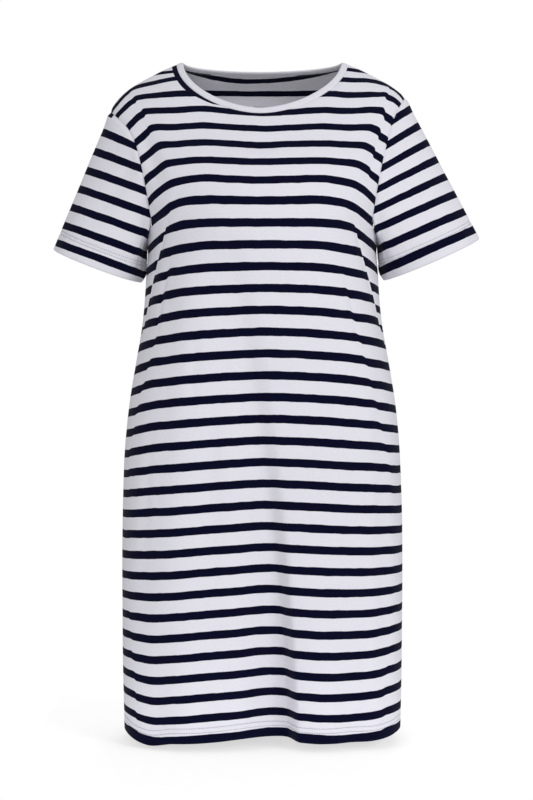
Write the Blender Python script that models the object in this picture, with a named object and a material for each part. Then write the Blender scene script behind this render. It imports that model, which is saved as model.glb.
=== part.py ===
"""T-shirt dress in striped jersey, filled out and hollow, as five sewn pieces.

Metres, +Z up.  The front faces -Y and the wearer's left side is at +X.  The origin lies
midway between the two high shoulder points, where the dress hangs on the wearer.

The cloth follows one smooth form, given by level sections.  The front and the back are cut
from it along the neckline, the shoulder seams, the armholes, the side seams and the hem.
Each sleeve is a loft from its armhole to its cuff, and a doubled band binds the neck.
"""
import bpy
import bmesh
import numpy as np
from mathutils import Vector

COLLECTION = "t_shirt_dress"

# Cloth and seams
WALL = 0.0012           # single jersey
TURN_UP_WALL = 0.0024   # jersey turned up and stitched double
SEAM_GAP = 0.0003       # between two pieces that are sewn together

# Driving sizes
SHOULDER_LEVEL = 0.0015     # high shoulder points
NECK_HALF_WIDTH = 0.1110    # opening, at the high shoulder points
NECK_CENTRE = -0.0020       # the neckline sits this far to one side
FRONT_NECK_DROP = 0.0750
BACK_NECK_DROP = 0.0045
NECK_ROUNDNESS = 1.75
NECK_SMOOTHING = 60         # passes that round the neckline over the shoulder seams
BINDING_WIDTH = 0.0090
BINDING_RISE = 0.0005       # the binding stands this proud of the panels
BINDING_WALL = 0.0024
UNDERARM_LEVEL = -0.2500
HEM_LEVEL = -0.9335
HEM_TURN_UP = 0.0250
CUFF_TURN_UP = 0.0220
TURN_UP_STEP = 0.0040       # height over which the wall thins above the turned-up hem
HEM_LIFT_POWER = 3          # higher where the lift of the hem fades sooner on the way up

# The form: half width at the sides of each level section
WIDTH_LEVEL, HALF_WIDTH = 0, 1
WIDTHS = (
    (0.0400, 0.0400),
    (0.0120, 0.0880),
    (0.0015, 0.1110),
    (-0.0030, 0.1245),
    (-0.0185, 0.1570),
    (-0.0320, 0.1805),
    (-0.0450, 0.1970),
    (-0.0580, 0.2080),
    (-0.0700, 0.2135),
    (-0.0900, 0.2160),
    (-0.1160, 0.2120),
    (-0.1480, 0.2005),
    (-0.2090, 0.1745),
    (-0.2500, 0.1605),
    (-0.3000, 0.1615),
    (-0.3720, 0.1675),
    (-0.4100, 0.1740),
    (-0.4700, 0.1840),
    (-0.5300, 0.1900),
    (-0.6000, 0.1928),
    (-0.8000, 0.1940),
    (-0.9400, 0.1915),
)

# The form: depth of the front and the back of each level section, from the plane of the
# side seams, and the roundness exponent of each half (2 is an ellipse)
DEPTH_LEVEL, FRONT_DEPTH, BACK_DEPTH, FRONT_ROUNDNESS, BACK_ROUNDNESS = 0, 1, 2, 3, 4
DEPTHS = (
    (0.0400, 0.0020, 0.0060, 2.0, 2.0),
    (0.0120, 0.0090, 0.0200, 2.0, 2.0),
    (0.0000, 0.0180, 0.0370, 2.0, 2.0),
    (-0.0125, 0.0290, 0.0620, 2.0, 2.1),
    (-0.0250, 0.0395, 0.0850, 2.0, 2.2),
    (-0.0500, 0.0585, 0.1040, 2.0, 2.3),
    (-0.0820, 0.0780, 0.1150, 2.0, 2.4),
    (-0.1160, 0.0985, 0.1195, 2.0, 2.4),
    (-0.1480, 0.1185, 0.1220, 2.05, 2.4),
    (-0.1800, 0.1335, 0.1220, 2.1, 2.4),
    (-0.2100, 0.1400, 0.1200, 2.15, 2.4),
    (-0.2500, 0.1405, 0.1155, 2.2, 2.4),
    (-0.3300, 0.1360, 0.1050, 2.5, 2.5),
    (-0.4200, 0.1310, 0.0990, 2.8, 2.6),
    (-0.5200, 0.1275, 0.0990, 3.0, 2.8),
    (-0.6400, 0.1200, 0.1025, 3.2, 3.0),
    (-0.8000, 0.1110, 0.1035, 3.4, 3.1),
    (-0.9400, 0.1050, 0.1030, 3.4, 3.1),
)

# Armholes, from the shoulder tip down: how far out the seam lies at each level
ARM_LEVEL, FRONT_REACH, BACK_REACH = 0, 1, 2
ARMHOLES = {
    "left": (
        (-0.0470, 0.2000, 0.2000),
        (-0.0740, 0.1855, 0.1930),
        (-0.1160, 0.1720, 0.1820),
        (-0.1480, 0.1640, 0.1740),
        (-0.1780, 0.1580, 0.1670),
        (-0.2090, 0.1530, 0.1610),
        (-0.2320, 0.1510, 0.1580),
        (UNDERARM_LEVEL, 0.1605, 0.1605),
    ),
    "right": (
        (-0.0680, 0.2127, 0.2127),
        (-0.0960, 0.1860, 0.1960),
        (-0.1190, 0.1745, 0.1850),
        (-0.1510, 0.1655, 0.1750),
        (-0.1820, 0.1590, 0.1675),
        (-0.2130, 0.1540, 0.1610),
        (-0.2340, 0.1520, 0.1580),
        (UNDERARM_LEVEL, 0.1605, 0.1605),
    ),
}

# Cuff rings: outer corner and inner corner seen from the front, and the ring's depth
CUFFS = {
    "left": {"side": 1, "outer": (0.3026, -0.2440), "inner": (0.1697, -0.3030)},
    "right": {"side": -1, "outer": (0.2917, -0.2590), "inner": (0.1685, -0.3062)},
}
CUFF_HALF_DEPTH = 0.0520
CUFF_BACK_LIFT = 0.0065     # the back of the cuff rides up by this and the front dips by it
CUFF_SHIFT_BACK = -0.0040

# The underside of a sleeve lies along the body: how far it is filled out towards it at each
# share of the way from the armhole to the cuff, and how closely this keeps to the underside
UNDERSIDE_SHARE, UNDERSIDE_FILL = 0, 1
UNDERSIDE = (
    (0.00, 0.0000),
    (0.15, 0.0006),
    (0.30, 0.0018),
    (0.45, 0.0031),
    (0.60, 0.0043),
    (0.75, 0.0051),
    (0.85, 0.0042),
    (0.93, 0.0023),
    (1.00, 0.0000),
)
UNDERSIDE_POWER = 6

# Neck binding, from its free edge: share of its width, and share of the rise reached there
BAND_SHARE, BAND_RISE = 0, 1
BAND = (
    (0.00, 0.0),
    (0.15, 1.0),
    (0.85, 1.0),
    (1.00, 0.0),
)

# How much the hem rides up, along the front and along the back
LIFT_X, FRONT_LIFT, BACK_LIFT = 0, 1, 2
HEM_LIFTS = (
    (-0.1950, 0.0140, 0.0140),
    (-0.1740, 0.0030, 0.0090),
    (-0.1550, -0.0020, 0.0060),
    (-0.1200, 0.0025, 0.0030),
    (-0.0800, 0.0040, 0.0020),
    (-0.0200, 0.0080, 0.0030),
    (0.0250, 0.0060, 0.0020),
    (0.0900, 0.0035, 0.0030),
    (0.1500, 0.0040, 0.0050),
    (0.1750, 0.0075, 0.0090),
    (0.1950, 0.0145, 0.0145),
)

# Drape folds: each runs up from the hem and fades out at its top level.  Seen from the
# front, a fold has its line at the hem and at the top, a bow to one side halfway, a spread
# to each side of that line, a depth at the hem, positive for a trough into the dress, and
# a power that is higher where the depth fades sooner on the way up
(FOLD_HEM_X, FOLD_BOW, FOLD_TOP_X, FOLD_TOP_LEVEL,
 FOLD_SPREAD_LOW, FOLD_SPREAD_HIGH, FOLD_DEPTH, FOLD_POWER) = range(8)
FRONT_FOLDS = (
    (0.0330, 0.0130, -0.0400, -0.2700, 0.1000, 0.0180, 0.0210, 2.4),
    (0.0240, 0.0154, -0.0500, -0.2500, 0.0550, 0.0300, 0.0125, 0.35),
    (0.0760, 0.0020, 0.0500, -0.5600, 0.0300, 0.0450, -0.0050, 0.8),
    (-0.1080, 0.0030, -0.0950, -0.5200, 0.0400, 0.0450, -0.0050, 0.8),
    (0.1250, 0.0000, 0.1150, -0.6200, 0.0300, 0.0300, 0.0060, 0.8),
)
BACK_FOLDS = (
    (-0.0620, -0.0040, -0.0450, -0.5000, 0.0600, 0.0340, 0.0220, 0.8),
    (-0.0100, 0.0000, -0.0100, -0.5400, 0.0330, 0.0400, -0.0070, 0.8),
    (0.0760, 0.0050, 0.0560, -0.4700, 0.0380, 0.0560, 0.0170, 0.8),
    (0.1350, 0.0000, 0.1200, -0.6400, 0.0300, 0.0300, 0.0060, 0.8),
)

# Mesh
SHOULDER_COLUMNS = 5
NECK_COLUMNS = 26
SHOULDER_SHARE = 0.17   # of a panel's width at the underarm, below one shoulder seam
FOLD_COLUMN = 0.590     # columns draw together here at the hem, where the main fold is
FOLD_PULL = 0.040
FOLD_REACH = 0.09
ARMHOLE_ROWS = 10
SIDE_ROWS = 24
SLEEVE_ROWS = 7
FINE = 64               # samples used while a curve is being worked out
SHARP_ANGLE = 50        # degrees; edges sharper than this are shaded as edges

JERSEY_WHITE = (0.80, 0.81, 0.84, 1.0)
JERSEY_ROUGHNESS = 0.85


# ---------------------------------------------------------------- curves and the form

def smooth_table(rows, key, column, at):
    """Read one column of a table at any level, with smooth slopes between the rows."""
    table = np.array(rows)[::-1]
    known, value = table[:, key], table[:, column]
    slope = np.gradient(value, known)
    at = np.clip(at, known[0], known[-1])
    low = np.clip(np.searchsorted(known, at) - 1, 0, len(known) - 2)
    span = known[low + 1] - known[low]
    u = (at - known[low]) / span
    return ((2 * u**3 - 3 * u**2 + 1) * value[low] + (u**3 - 2 * u**2 + u) * span * slope[low]
            + (3 * u**2 - 2 * u**3) * value[low + 1] + (u**3 - u**2) * span * slope[low + 1])


def half_width(level):
    return smooth_table(WIDTHS, WIDTH_LEVEL, HALF_WIDTH, level)


def depth_and_roundness(level, front):
    depth = np.where(front, smooth_table(DEPTHS, DEPTH_LEVEL, FRONT_DEPTH, level),
                     smooth_table(DEPTHS, DEPTH_LEVEL, BACK_DEPTH, level))
    roundness = np.where(front, smooth_table(DEPTHS, DEPTH_LEVEL, FRONT_ROUNDNESS, level),
                         smooth_table(DEPTHS, DEPTH_LEVEL, BACK_ROUNDNESS, level))
    return depth, roundness


def form_value(points):
    """Zero on the form, negative inside it."""
    x, y, z = points[..., 0], points[..., 1], points[..., 2]
    depth, roundness = depth_and_roundness(z, y < 0)
    across = (np.abs(x) / half_width(z)) ** roundness
    through = (np.abs(y) / depth) ** roundness
    return (across + through) ** (1 / roundness) - 1


def form_gradient(points, step=1e-5):
    gradient = np.empty_like(points)
    for axis in range(3):
        shift = np.zeros(3)
        shift[axis] = step
        gradient[..., axis] = (form_value(points + shift) - form_value(points - shift)) / (2 * step)
    return gradient


def form_normal(points):
    gradient = form_gradient(points)
    return gradient / np.linalg.norm(gradient, axis=-1, keepdims=True)


def onto_form(points):
    """Move points to the form along its normals."""
    points = np.array(points, dtype=float)
    for _ in range(8):
        gradient = form_gradient(points)
        size = np.sum(gradient**2, axis=-1, keepdims=True)
        points -= form_value(points)[..., None] * gradient / size
    return points


def at_reach(x, level, front):
    """The point of the form at this x and level, on its front or its back."""
    depth, roundness = depth_and_roundness(level, front)
    ratio = np.clip(np.abs(x) / half_width(level), 0, 1)
    y = depth * (1 - ratio**roundness) ** (1 / roundness)
    return np.stack([x, np.where(front, -y, y), level], axis=-1)


def resample(curve, fractions):
    """Points of a curve at these fractions of its length."""
    steps = np.linalg.norm(np.diff(curve, axis=0), axis=1)
    along = np.concatenate([[0], np.cumsum(steps)])
    along /= along[-1]
    return np.stack([np.interp(fractions, along, curve[:, axis]) for axis in range(3)], axis=-1)


def level_section(level, front, count=4 * FINE):
    """Half of a level section, from the wearer's right side seam to the left one."""
    depth, roundness = depth_and_roundness(np.array(level), front)
    turn = np.linspace(-np.pi / 2, np.pi / 2, count)
    x = half_width(np.array(level)) * np.sign(turn) * np.abs(np.sin(turn)) ** (2 / roundness)
    y = depth * np.cos(turn) ** (2 / roundness)
    y = np.where(front, -1, 1) * np.maximum(y, SEAM_GAP / 2)
    return np.stack([x, y, np.full(count, level)], axis=-1)


# ---------------------------------------------------------------- seam lines

def armhole(side, front, fractions):
    """Armhole seam from the shoulder tip down to the underarm point."""
    rows = ARMHOLES[side]
    reach_column = FRONT_REACH if front else BACK_REACH
    tip, bottom = rows[0][ARM_LEVEL], rows[-1][ARM_LEVEL]
    turn = np.linspace(0, np.pi, 4 * FINE)
    level = (tip + bottom) / 2 + (tip - bottom) / 2 * np.cos(turn)
    reach = smooth_table(rows, ARM_LEVEL, reach_column, level)
    reach = np.minimum(reach, half_width(level))
    reach[[0, -1]] = half_width(level[[0, -1]])
    curve = at_reach(CUFFS[side]["side"] * reach, level, front)
    curve[:, 1] = np.where(front, -1, 1) * np.maximum(np.abs(curve[:, 1]), SEAM_GAP / 2)
    return resample(curve, fractions)


def neck_edge(front):
    """Opening of the neck on one half of the form, from the wearer's right to the left."""
    turn = np.linspace(-np.pi / 2, np.pi / 2, 4 * FINE)
    drop = FRONT_NECK_DROP if front else BACK_NECK_DROP
    power = 2 / NECK_ROUNDNESS
    x = NECK_HALF_WIDTH * np.sign(turn) * np.abs(np.sin(turn)) ** power
    level = SHOULDER_LEVEL - drop * np.cos(turn) ** power
    edge = at_reach(x, level, front)
    edge[:, 0] += NECK_CENTRE * np.cos(turn)
    return edge


def neck_opening():
    """Free edge of the neck binding as one smooth loop: across the front, then the back."""
    loop = np.concatenate([neck_edge(True)[:-1], neck_edge(False)[::-1]])
    loop = resample(loop, np.linspace(0, 1, 8 * FINE + 1))[:-1]
    for _ in range(NECK_SMOOTHING):
        loop = (np.roll(loop, 1, axis=0) + 2 * loop + np.roll(loop, -1, axis=0)) / 4
    return onto_form(loop)


def neck_line(front, inset):
    """The neck opening moved down the form by an inset, between the shoulder seams."""
    loop = neck_opening()
    along = np.roll(loop, -1, axis=0) - np.roll(loop, 1, axis=0)
    outward = np.cross(along, form_normal(loop))
    outward /= np.linalg.norm(outward, axis=1, keepdims=True)
    moved = onto_form(loop + inset * outward)
    if not front:
        moved = moved[::-1]
    facing = -moved[:, 1] if front else moved[:, 1]
    moved = np.roll(moved, -np.argmin(facing), axis=0)
    facing = np.roll(facing, -np.argmin(facing))
    half = moved[facing > SEAM_GAP]
    ends = half[[0, -1]].copy()
    ends[:, 1] = -SEAM_GAP / 2 if front else SEAM_GAP / 2
    ends = onto_form(ends)
    return np.concatenate([ends[:1], half, ends[1:]])


def shoulder_line(side, front, neck_end, fractions):
    """Shoulder seam along the top of the form, from the tip to the neckline."""
    tip = ARMHOLES[side][0][ARM_LEVEL]
    level = np.linspace(tip, neck_end[2], FINE)
    y = np.full(FINE, -SEAM_GAP / 2 if front else SEAM_GAP / 2)
    curve = np.stack([CUFFS[side]["side"] * half_width(level), y, level], axis=-1)
    curve[-1] = neck_end
    return resample(curve, fractions)


# ---------------------------------------------------------------- panels

def column_fractions(level_share):
    """How far across the panel each column lies: evenly at the underarm, and closer
    together at the main fold further down."""
    shoulder = np.linspace(0, SHOULDER_SHARE, SHOULDER_COLUMNS + 1)
    neck = np.linspace(SHOULDER_SHARE, 1 - SHOULDER_SHARE, NECK_COLUMNS + 1)
    even = np.concatenate([shoulder, neck[1:-1], 1 - shoulder[::-1]])
    toward_fold = np.tanh((FOLD_COLUMN - even) / FOLD_REACH)
    return even + level_share * FOLD_PULL * np.sin(np.pi * even) * toward_fold


def smooth_step(value):
    value = np.clip(value, 0, 1)
    return value * value * (3 - 2 * value)


def fold_offset(folds, x, level):
    """How far the drape folds push the cloth into the dress."""
    total = np.zeros_like(x)
    for fold in folds:
        run = np.clip((fold[FOLD_TOP_LEVEL] - level) / (fold[FOLD_TOP_LEVEL] - HEM_LEVEL), 0, 1)
        line = (fold[FOLD_TOP_X] + (fold[FOLD_HEM_X] - fold[FOLD_TOP_X]) * run
                + fold[FOLD_BOW] * 4 * run * (1 - run))
        spread = np.where(x < line, fold[FOLD_SPREAD_LOW], fold[FOLD_SPREAD_HIGH])
        shape = smooth_step(1 - np.abs(x - line) / spread)
        total += fold[FOLD_DEPTH] * smooth_step(run) ** fold[FOLD_POWER] * shape
    return total


def panel_top(front):
    """Upper edge of a panel: shoulder seam, neckline, shoulder seam."""
    neck = resample(neck_line(front, BINDING_WIDTH + SEAM_GAP), np.linspace(0, 1, NECK_COLUMNS + 1))
    along = np.linspace(0, 1, SHOULDER_COLUMNS + 1)
    right = shoulder_line("right", front, neck[0], along)
    left = shoulder_line("left", front, neck[-1], along)
    return np.concatenate([right[:-1], neck, left[::-1][1:]])


def panel_yoke(front, rows):
    """Grid from the shoulders and neckline down to the underarm level."""
    top = panel_top(front)
    across = column_fractions(0.0)
    bottom = resample(level_section(UNDERARM_LEVEL, front), across)
    down = np.linspace(0, 1, FINE)
    right = armhole("right", front, down)
    left = armhole("left", front, down)
    t, v = across[None, :, None], down[:, None, None]
    patch = ((1 - v) * top[None] + v * bottom[None] + (1 - t) * right[:, None] + t * left[:, None]
             - (1 - t) * (1 - v) * top[0] - t * (1 - v) * top[-1]
             - (1 - t) * v * bottom[0] - t * v * bottom[-1])
    patch[1:-1, 1:-1] = onto_form(patch[1:-1, 1:-1])
    patch[0], patch[-1] = top, bottom
    wanted = np.linspace(0, 1, rows + 1)
    return np.stack([resample(patch[:, column], wanted) for column in range(patch.shape[1])], axis=1)


def panel_skirt(front, rows):
    """Grid from the underarm level down to the hem."""
    grid = []
    for share in np.linspace(0, 1, rows + 1)[1:]:
        across = column_fractions(smooth_step(share))
        level = UNDERARM_LEVEL + (HEM_LEVEL - UNDERARM_LEVEL) * share
        row = resample(level_section(level, front), across)
        lift = smooth_table(HEM_LIFTS[::-1], LIFT_X, FRONT_LIFT if front else BACK_LIFT, row[:, 0])
        row[:, 2] += lift * share**HEM_LIFT_POWER
        grid.append(row)
    return np.array(grid)


def grid_normals(grid, outward):
    """Normals of a grid of points, turned the same way as the given ones."""
    down = np.gradient(grid, axis=0)
    across = np.gradient(grid, axis=1)
    normal = np.cross(down, across)
    normal /= np.linalg.norm(normal, axis=-1, keepdims=True)
    flip = np.sign(np.sum(normal * outward, axis=-1, keepdims=True))
    return normal * flip


def panel(front):
    """Outer points, normals and wall thickness of the front or the back."""
    grid = np.concatenate([panel_yoke(front, ARMHOLE_ROWS), panel_skirt(front, SIDE_ROWS)])
    normal = form_normal(grid)
    folds = FRONT_FOLDS if front else BACK_FOLDS
    grid = grid - fold_offset(folds, grid[..., 0], grid[..., 2])[..., None] * normal
    draped = grid_normals(grid, normal)
    normal[1:, 1:-1] = draped[1:, 1:-1]
    above_hem = grid[..., 2] - grid[-1:, :, 2]
    turned_up = smooth_step((HEM_TURN_UP + TURN_UP_STEP - above_hem) / TURN_UP_STEP)
    wall = WALL + (TURN_UP_WALL - WALL) * turned_up
    return grid, normal, wall


# ---------------------------------------------------------------- sleeves and binding

def armhole_loop(side):
    """Armhole seam all round: down the front, and up the back."""
    along = np.linspace(0, 1, ARMHOLE_ROWS + 1)
    front = armhole(side, True, along)
    back = armhole(side, False, along)
    loop = np.concatenate([front, back[::-1][1:-1]])
    loop[[0, ARMHOLE_ROWS], 1] = 0
    return loop


def cuff_loop(side):
    """Edge of the cuff, point for point with the armhole."""
    cuff = CUFFS[side]
    outer, inner = np.array(cuff["outer"]), np.array(cuff["inner"])
    middle, arm = (outer + inner) / 2, (outer - inner) / 2
    turn = np.linspace(0, 2 * np.pi, 2 * ARMHOLE_ROWS, endpoint=False)
    x = cuff["side"] * (middle[0] + arm[0] * np.cos(turn))
    y = CUFF_SHIFT_BACK - CUFF_HALF_DEPTH * np.sin(turn)
    z = middle[1] + arm[1] * np.cos(turn) - CUFF_BACK_LIFT * np.sin(turn)
    return np.stack([x, y, z], axis=-1)


def sleeve(side):
    """Outer points, normals and wall thickness of a sleeve, row by row from the armhole."""
    seam, cuff = armhole_loop(side), cuff_loop(side)
    turn = np.linspace(0, 2 * np.pi, len(seam), endpoint=False)
    along = np.roll(seam, -1, axis=0) - np.roll(seam, 1, axis=0)
    surface = form_normal(seam)
    away = np.cross(surface, along)
    away /= np.linalg.norm(away, axis=1, keepdims=True)
    if away[0, 0] * CUFFS[side]["side"] < 0:
        away = -away
    clear = SEAM_GAP * (away + surface * (0.5 - 0.5 * np.cos(turn))[:, None])
    shares = np.linspace(0, 1, SLEEVE_ROWS + 1)
    edge_share = 1 - CUFF_TURN_UP / np.linalg.norm(cuff[0] - seam[0])
    shares[-2] = edge_share
    start = seam + clear
    grid = start[None] + shares[:, None, None] * (cuff - start)[None]
    underside = np.array(UNDERSIDE)
    fill = np.interp(shares, underside[:, UNDERSIDE_SHARE], underside[:, UNDERSIDE_FILL])
    beneath = (0.5 - 0.5 * np.cos(turn)) ** UNDERSIDE_POWER
    grid[..., 0] -= CUFFS[side]["side"] * fill[:, None] * beneath
    middle = grid.mean(axis=1, keepdims=True)
    down = np.gradient(grid, axis=0)
    around = np.roll(grid, -1, axis=1) - np.roll(grid, 1, axis=1)
    normal = np.cross(down, around)
    normal /= np.linalg.norm(normal, axis=-1, keepdims=True)
    normal *= np.sign(np.sum(normal * (grid - middle), axis=-1, keepdims=True))
    under = (0.5 - 0.5 * np.cos(turn))[:, None] ** 2
    normal[0] = under * normal[0] + (1 - under) * surface
    normal[0] /= np.linalg.norm(normal[0], axis=-1, keepdims=True)
    wall = np.full(grid.shape[:2], WALL)
    wall[-2:] = TURN_UP_WALL
    return grid, normal, wall


def neck_loop(inset):
    """A closed line round the neck, this far below the binding's free edge."""
    share = np.linspace(0, 1, NECK_COLUMNS + 1)
    front = resample(neck_line(True, inset), share)
    back = resample(neck_line(False, inset), share)
    front[[0, -1], 1] = 0
    return np.concatenate([front, back[::-1][1:-1]])


def binding():
    """Outer points, normals and wall thickness of the neck binding."""
    band = np.array(BAND)
    insets = BINDING_WIDTH * band[:, BAND_SHARE]
    rise = BINDING_RISE * band[:, BAND_RISE]
    grid = np.array([neck_loop(inset) for inset in insets])
    normal = form_normal(grid)
    grid = grid + rise[:, None, None] * normal
    wall = BINDING_WALL + 2 * rise[:, None] - 2 * BINDING_RISE + np.zeros(grid.shape[:2])
    return grid, normal, wall


# ---------------------------------------------------------------- solids

def material(name, colour, roughness):
    made = bpy.data.materials.new(name)
    made.use_nodes = True
    shader = made.node_tree.nodes["Principled BSDF"]
    shader.inputs["Base Color"].default_value = colour
    shader.inputs["Roughness"].default_value = roughness
    shader.inputs["Metallic"].default_value = 0.0
    return made


def cloth_wall(name, shape, finish, collection, closed=False):
    """A closed wall of cloth: the outer points, the same points moved in, and the rims."""
    grid, normal, wall = shape
    rows, columns = grid.shape[:2]
    mesh = bmesh.new()
    outer = [[mesh.verts.new(Vector(point)) for point in row] for row in grid]
    inner = [[mesh.verts.new(Vector(point)) for point in row]
             for row in grid - wall[..., None] * normal]
    across = range(columns if closed else columns - 1)

    def quad(a, b, c, d):
        mesh.faces.new((a, b, c))
        mesh.faces.new((a, c, d))

    for row in range(rows - 1):
        for column in across:
            after = (column + 1) % columns
            for skin in (outer, inner):
                quad(skin[row][column], skin[row][after],
                     skin[row + 1][after], skin[row + 1][column])
    for row in (0, rows - 1):
        for column in across:
            after = (column + 1) % columns
            quad(outer[row][column], outer[row][after], inner[row][after], inner[row][column])
    if not closed:
        for column in (0, columns - 1):
            for row in range(rows - 1):
                quad(outer[row][column], outer[row + 1][column],
                     inner[row + 1][column], inner[row][column])
    bmesh.ops.recalc_face_normals(mesh, faces=mesh.faces)
    data = bpy.data.meshes.new(name)
    mesh.to_mesh(data)
    mesh.free()
    data.materials.append(finish)
    data.shade_smooth()
    data.set_sharp_from_angle(angle=np.radians(SHARP_ANGLE))
    made = bpy.data.objects.new(name, data)
    collection.objects.link(made)
    return made


def build():
    for old in list(bpy.data.objects):
        bpy.data.objects.remove(old)
    collection = bpy.data.collections.new(COLLECTION)
    bpy.context.scene.collection.children.link(collection)
    striped = material("striped_jersey", JERSEY_WHITE, JERSEY_ROUGHNESS)
    plain = material("plain_jersey", JERSEY_WHITE, JERSEY_ROUGHNESS)
    cloth_wall("front", panel(True), striped, collection)
    cloth_wall("back", panel(False), striped, collection)
    for side in ARMHOLES:
        cloth_wall("sleeve_" + side, sleeve(side), striped, collection, closed=True)
    cloth_wall("neck_binding", binding(), plain, collection, closed=True)


build()
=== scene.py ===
"""Looks of a striped jersey t-shirt dress, worn by nobody: hollow, filled out and hanging.

Metres, +Z up.  The front faces -Y and the wearer's left side is at +X.  The cloth follows
the same form, seam lines and drape folds as the solids of the frame, on a finer grid, and
adds the darts, creases, turned edges, stitches, stripes and knit.
"""
import math

import bmesh
import bpy
import numpy as np
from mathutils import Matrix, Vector


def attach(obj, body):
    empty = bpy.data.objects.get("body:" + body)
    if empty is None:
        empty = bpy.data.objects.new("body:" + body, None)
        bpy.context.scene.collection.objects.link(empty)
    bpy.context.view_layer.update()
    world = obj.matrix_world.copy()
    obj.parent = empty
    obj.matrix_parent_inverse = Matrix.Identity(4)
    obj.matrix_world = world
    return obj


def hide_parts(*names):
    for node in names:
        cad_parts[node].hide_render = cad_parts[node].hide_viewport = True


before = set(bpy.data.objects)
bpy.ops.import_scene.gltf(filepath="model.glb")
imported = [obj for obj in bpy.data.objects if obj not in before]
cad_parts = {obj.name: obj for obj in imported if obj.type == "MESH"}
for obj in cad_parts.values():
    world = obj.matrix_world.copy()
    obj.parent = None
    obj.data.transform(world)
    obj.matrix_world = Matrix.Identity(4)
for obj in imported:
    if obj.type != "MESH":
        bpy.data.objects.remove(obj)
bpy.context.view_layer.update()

# ---------------------------------------------------------------- sizes shared with the frame

WALL = 0.0012
TURN_UP_WALL = 0.0024
SEAM_GAP = 0.0003
SHOULDER_LEVEL = 0.0015
NECK_HALF_WIDTH = 0.1110
NECK_CENTRE = -0.0020
FRONT_NECK_DROP = 0.0750
BACK_NECK_DROP = 0.0045
NECK_ROUNDNESS = 1.75
NECK_SMOOTHING = 60
BINDING_WIDTH = 0.0090
BINDING_RISE = 0.0005
BINDING_WALL = 0.0024
UNDERARM_LEVEL = -0.2500
HEM_LEVEL = -0.9335
HEM_TURN_UP = 0.0250
CUFF_TURN_UP = 0.0220

WIDTH_LEVEL, HALF_WIDTH = 0, 1
WIDTHS = (
    (0.0400, 0.0400),
    (0.0120, 0.0880),
    (0.0015, 0.1110),
    (-0.0030, 0.1245),
    (-0.0185, 0.1570),
    (-0.0320, 0.1805),
    (-0.0450, 0.1970),
    (-0.0580, 0.2080),
    (-0.0700, 0.2135),
    (-0.0900, 0.2160),
    (-0.1160, 0.2120),
    (-0.1480, 0.2005),
    (-0.2090, 0.1745),
    (-0.2500, 0.1605),
    (-0.3000, 0.1615),
    (-0.3720, 0.1675),
    (-0.4100, 0.1740),
    (-0.4700, 0.1840),
    (-0.5300, 0.1900),
    (-0.6000, 0.1928),
    (-0.8000, 0.1940),
    (-0.9400, 0.1915),
)

DEPTH_LEVEL, FRONT_DEPTH, BACK_DEPTH, FRONT_ROUNDNESS, BACK_ROUNDNESS = 0, 1, 2, 3, 4
DEPTHS = (
    (0.0400, 0.0020, 0.0060, 2.0, 2.0),
    (0.0120, 0.0090, 0.0200, 2.0, 2.0),
    (0.0000, 0.0180, 0.0370, 2.0, 2.0),
    (-0.0125, 0.0290, 0.0620, 2.0, 2.1),
    (-0.0250, 0.0395, 0.0850, 2.0, 2.2),
    (-0.0500, 0.0585, 0.1040, 2.0, 2.3),
    (-0.0820, 0.0780, 0.1150, 2.0, 2.4),
    (-0.1160, 0.0985, 0.1195, 2.0, 2.4),
    (-0.1480, 0.1185, 0.1220, 2.05, 2.4),
    (-0.1800, 0.1335, 0.1220, 2.1, 2.4),
    (-0.2100, 0.1400, 0.1200, 2.15, 2.4),
    (-0.2500, 0.1405, 0.1155, 2.2, 2.4),
    (-0.3300, 0.1360, 0.1050, 2.5, 2.5),
    (-0.4200, 0.1310, 0.0990, 2.8, 2.6),
    (-0.5200, 0.1275, 0.0990, 3.0, 2.8),
    (-0.6400, 0.1200, 0.1025, 3.2, 3.0),
    (-0.8000, 0.1110, 0.1035, 3.4, 3.1),
    (-0.9400, 0.1050, 0.1030, 3.4, 3.1),
)

ARM_LEVEL, FRONT_REACH, BACK_REACH = 0, 1, 2
ARMHOLES = {
    "left": (
        (-0.0470, 0.2000, 0.2000),
        (-0.0740, 0.1855, 0.1930),
        (-0.1160, 0.1720, 0.1820),
        (-0.1480, 0.1640, 0.1740),
        (-0.1780, 0.1580, 0.1670),
        (-0.2090, 0.1530, 0.1610),
        (-0.2320, 0.1510, 0.1580),
        (UNDERARM_LEVEL, 0.1605, 0.1605),
    ),
    "right": (
        (-0.0680, 0.2127, 0.2127),
        (-0.0960, 0.1860, 0.1960),
        (-0.1190, 0.1745, 0.1850),
        (-0.1510, 0.1655, 0.1750),
        (-0.1820, 0.1590, 0.1675),
        (-0.2130, 0.1540, 0.1610),
        (-0.2340, 0.1520, 0.1580),
        (UNDERARM_LEVEL, 0.1605, 0.1605),
    ),
}

CUFFS = {
    "left": {"side": 1, "outer": (0.3026, -0.2440), "inner": (0.1697, -0.3030)},
    "right": {"side": -1, "outer": (0.2917, -0.2590), "inner": (0.1685, -0.3062)},
}
CUFF_HALF_DEPTH = 0.0520
CUFF_BACK_LIFT = 0.0065
CUFF_SHIFT_BACK = -0.0040

LIFT_X, FRONT_LIFT, BACK_LIFT = 0, 1, 2
HEM_LIFTS = (
    (-0.1950, 0.0140, 0.0140),
    (-0.1740, 0.0030, 0.0090),
    (-0.1550, -0.0020, 0.0060),
    (-0.1200, 0.0025, 0.0030),
    (-0.0800, 0.0040, 0.0020),
    (-0.0200, 0.0080, 0.0030),
    (0.0250, 0.0060, 0.0020),
    (0.0900, 0.0035, 0.0030),
    (0.1500, 0.0040, 0.0050),
    (0.1750, 0.0075, 0.0090),
    (0.1950, 0.0145, 0.0145),
)

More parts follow.
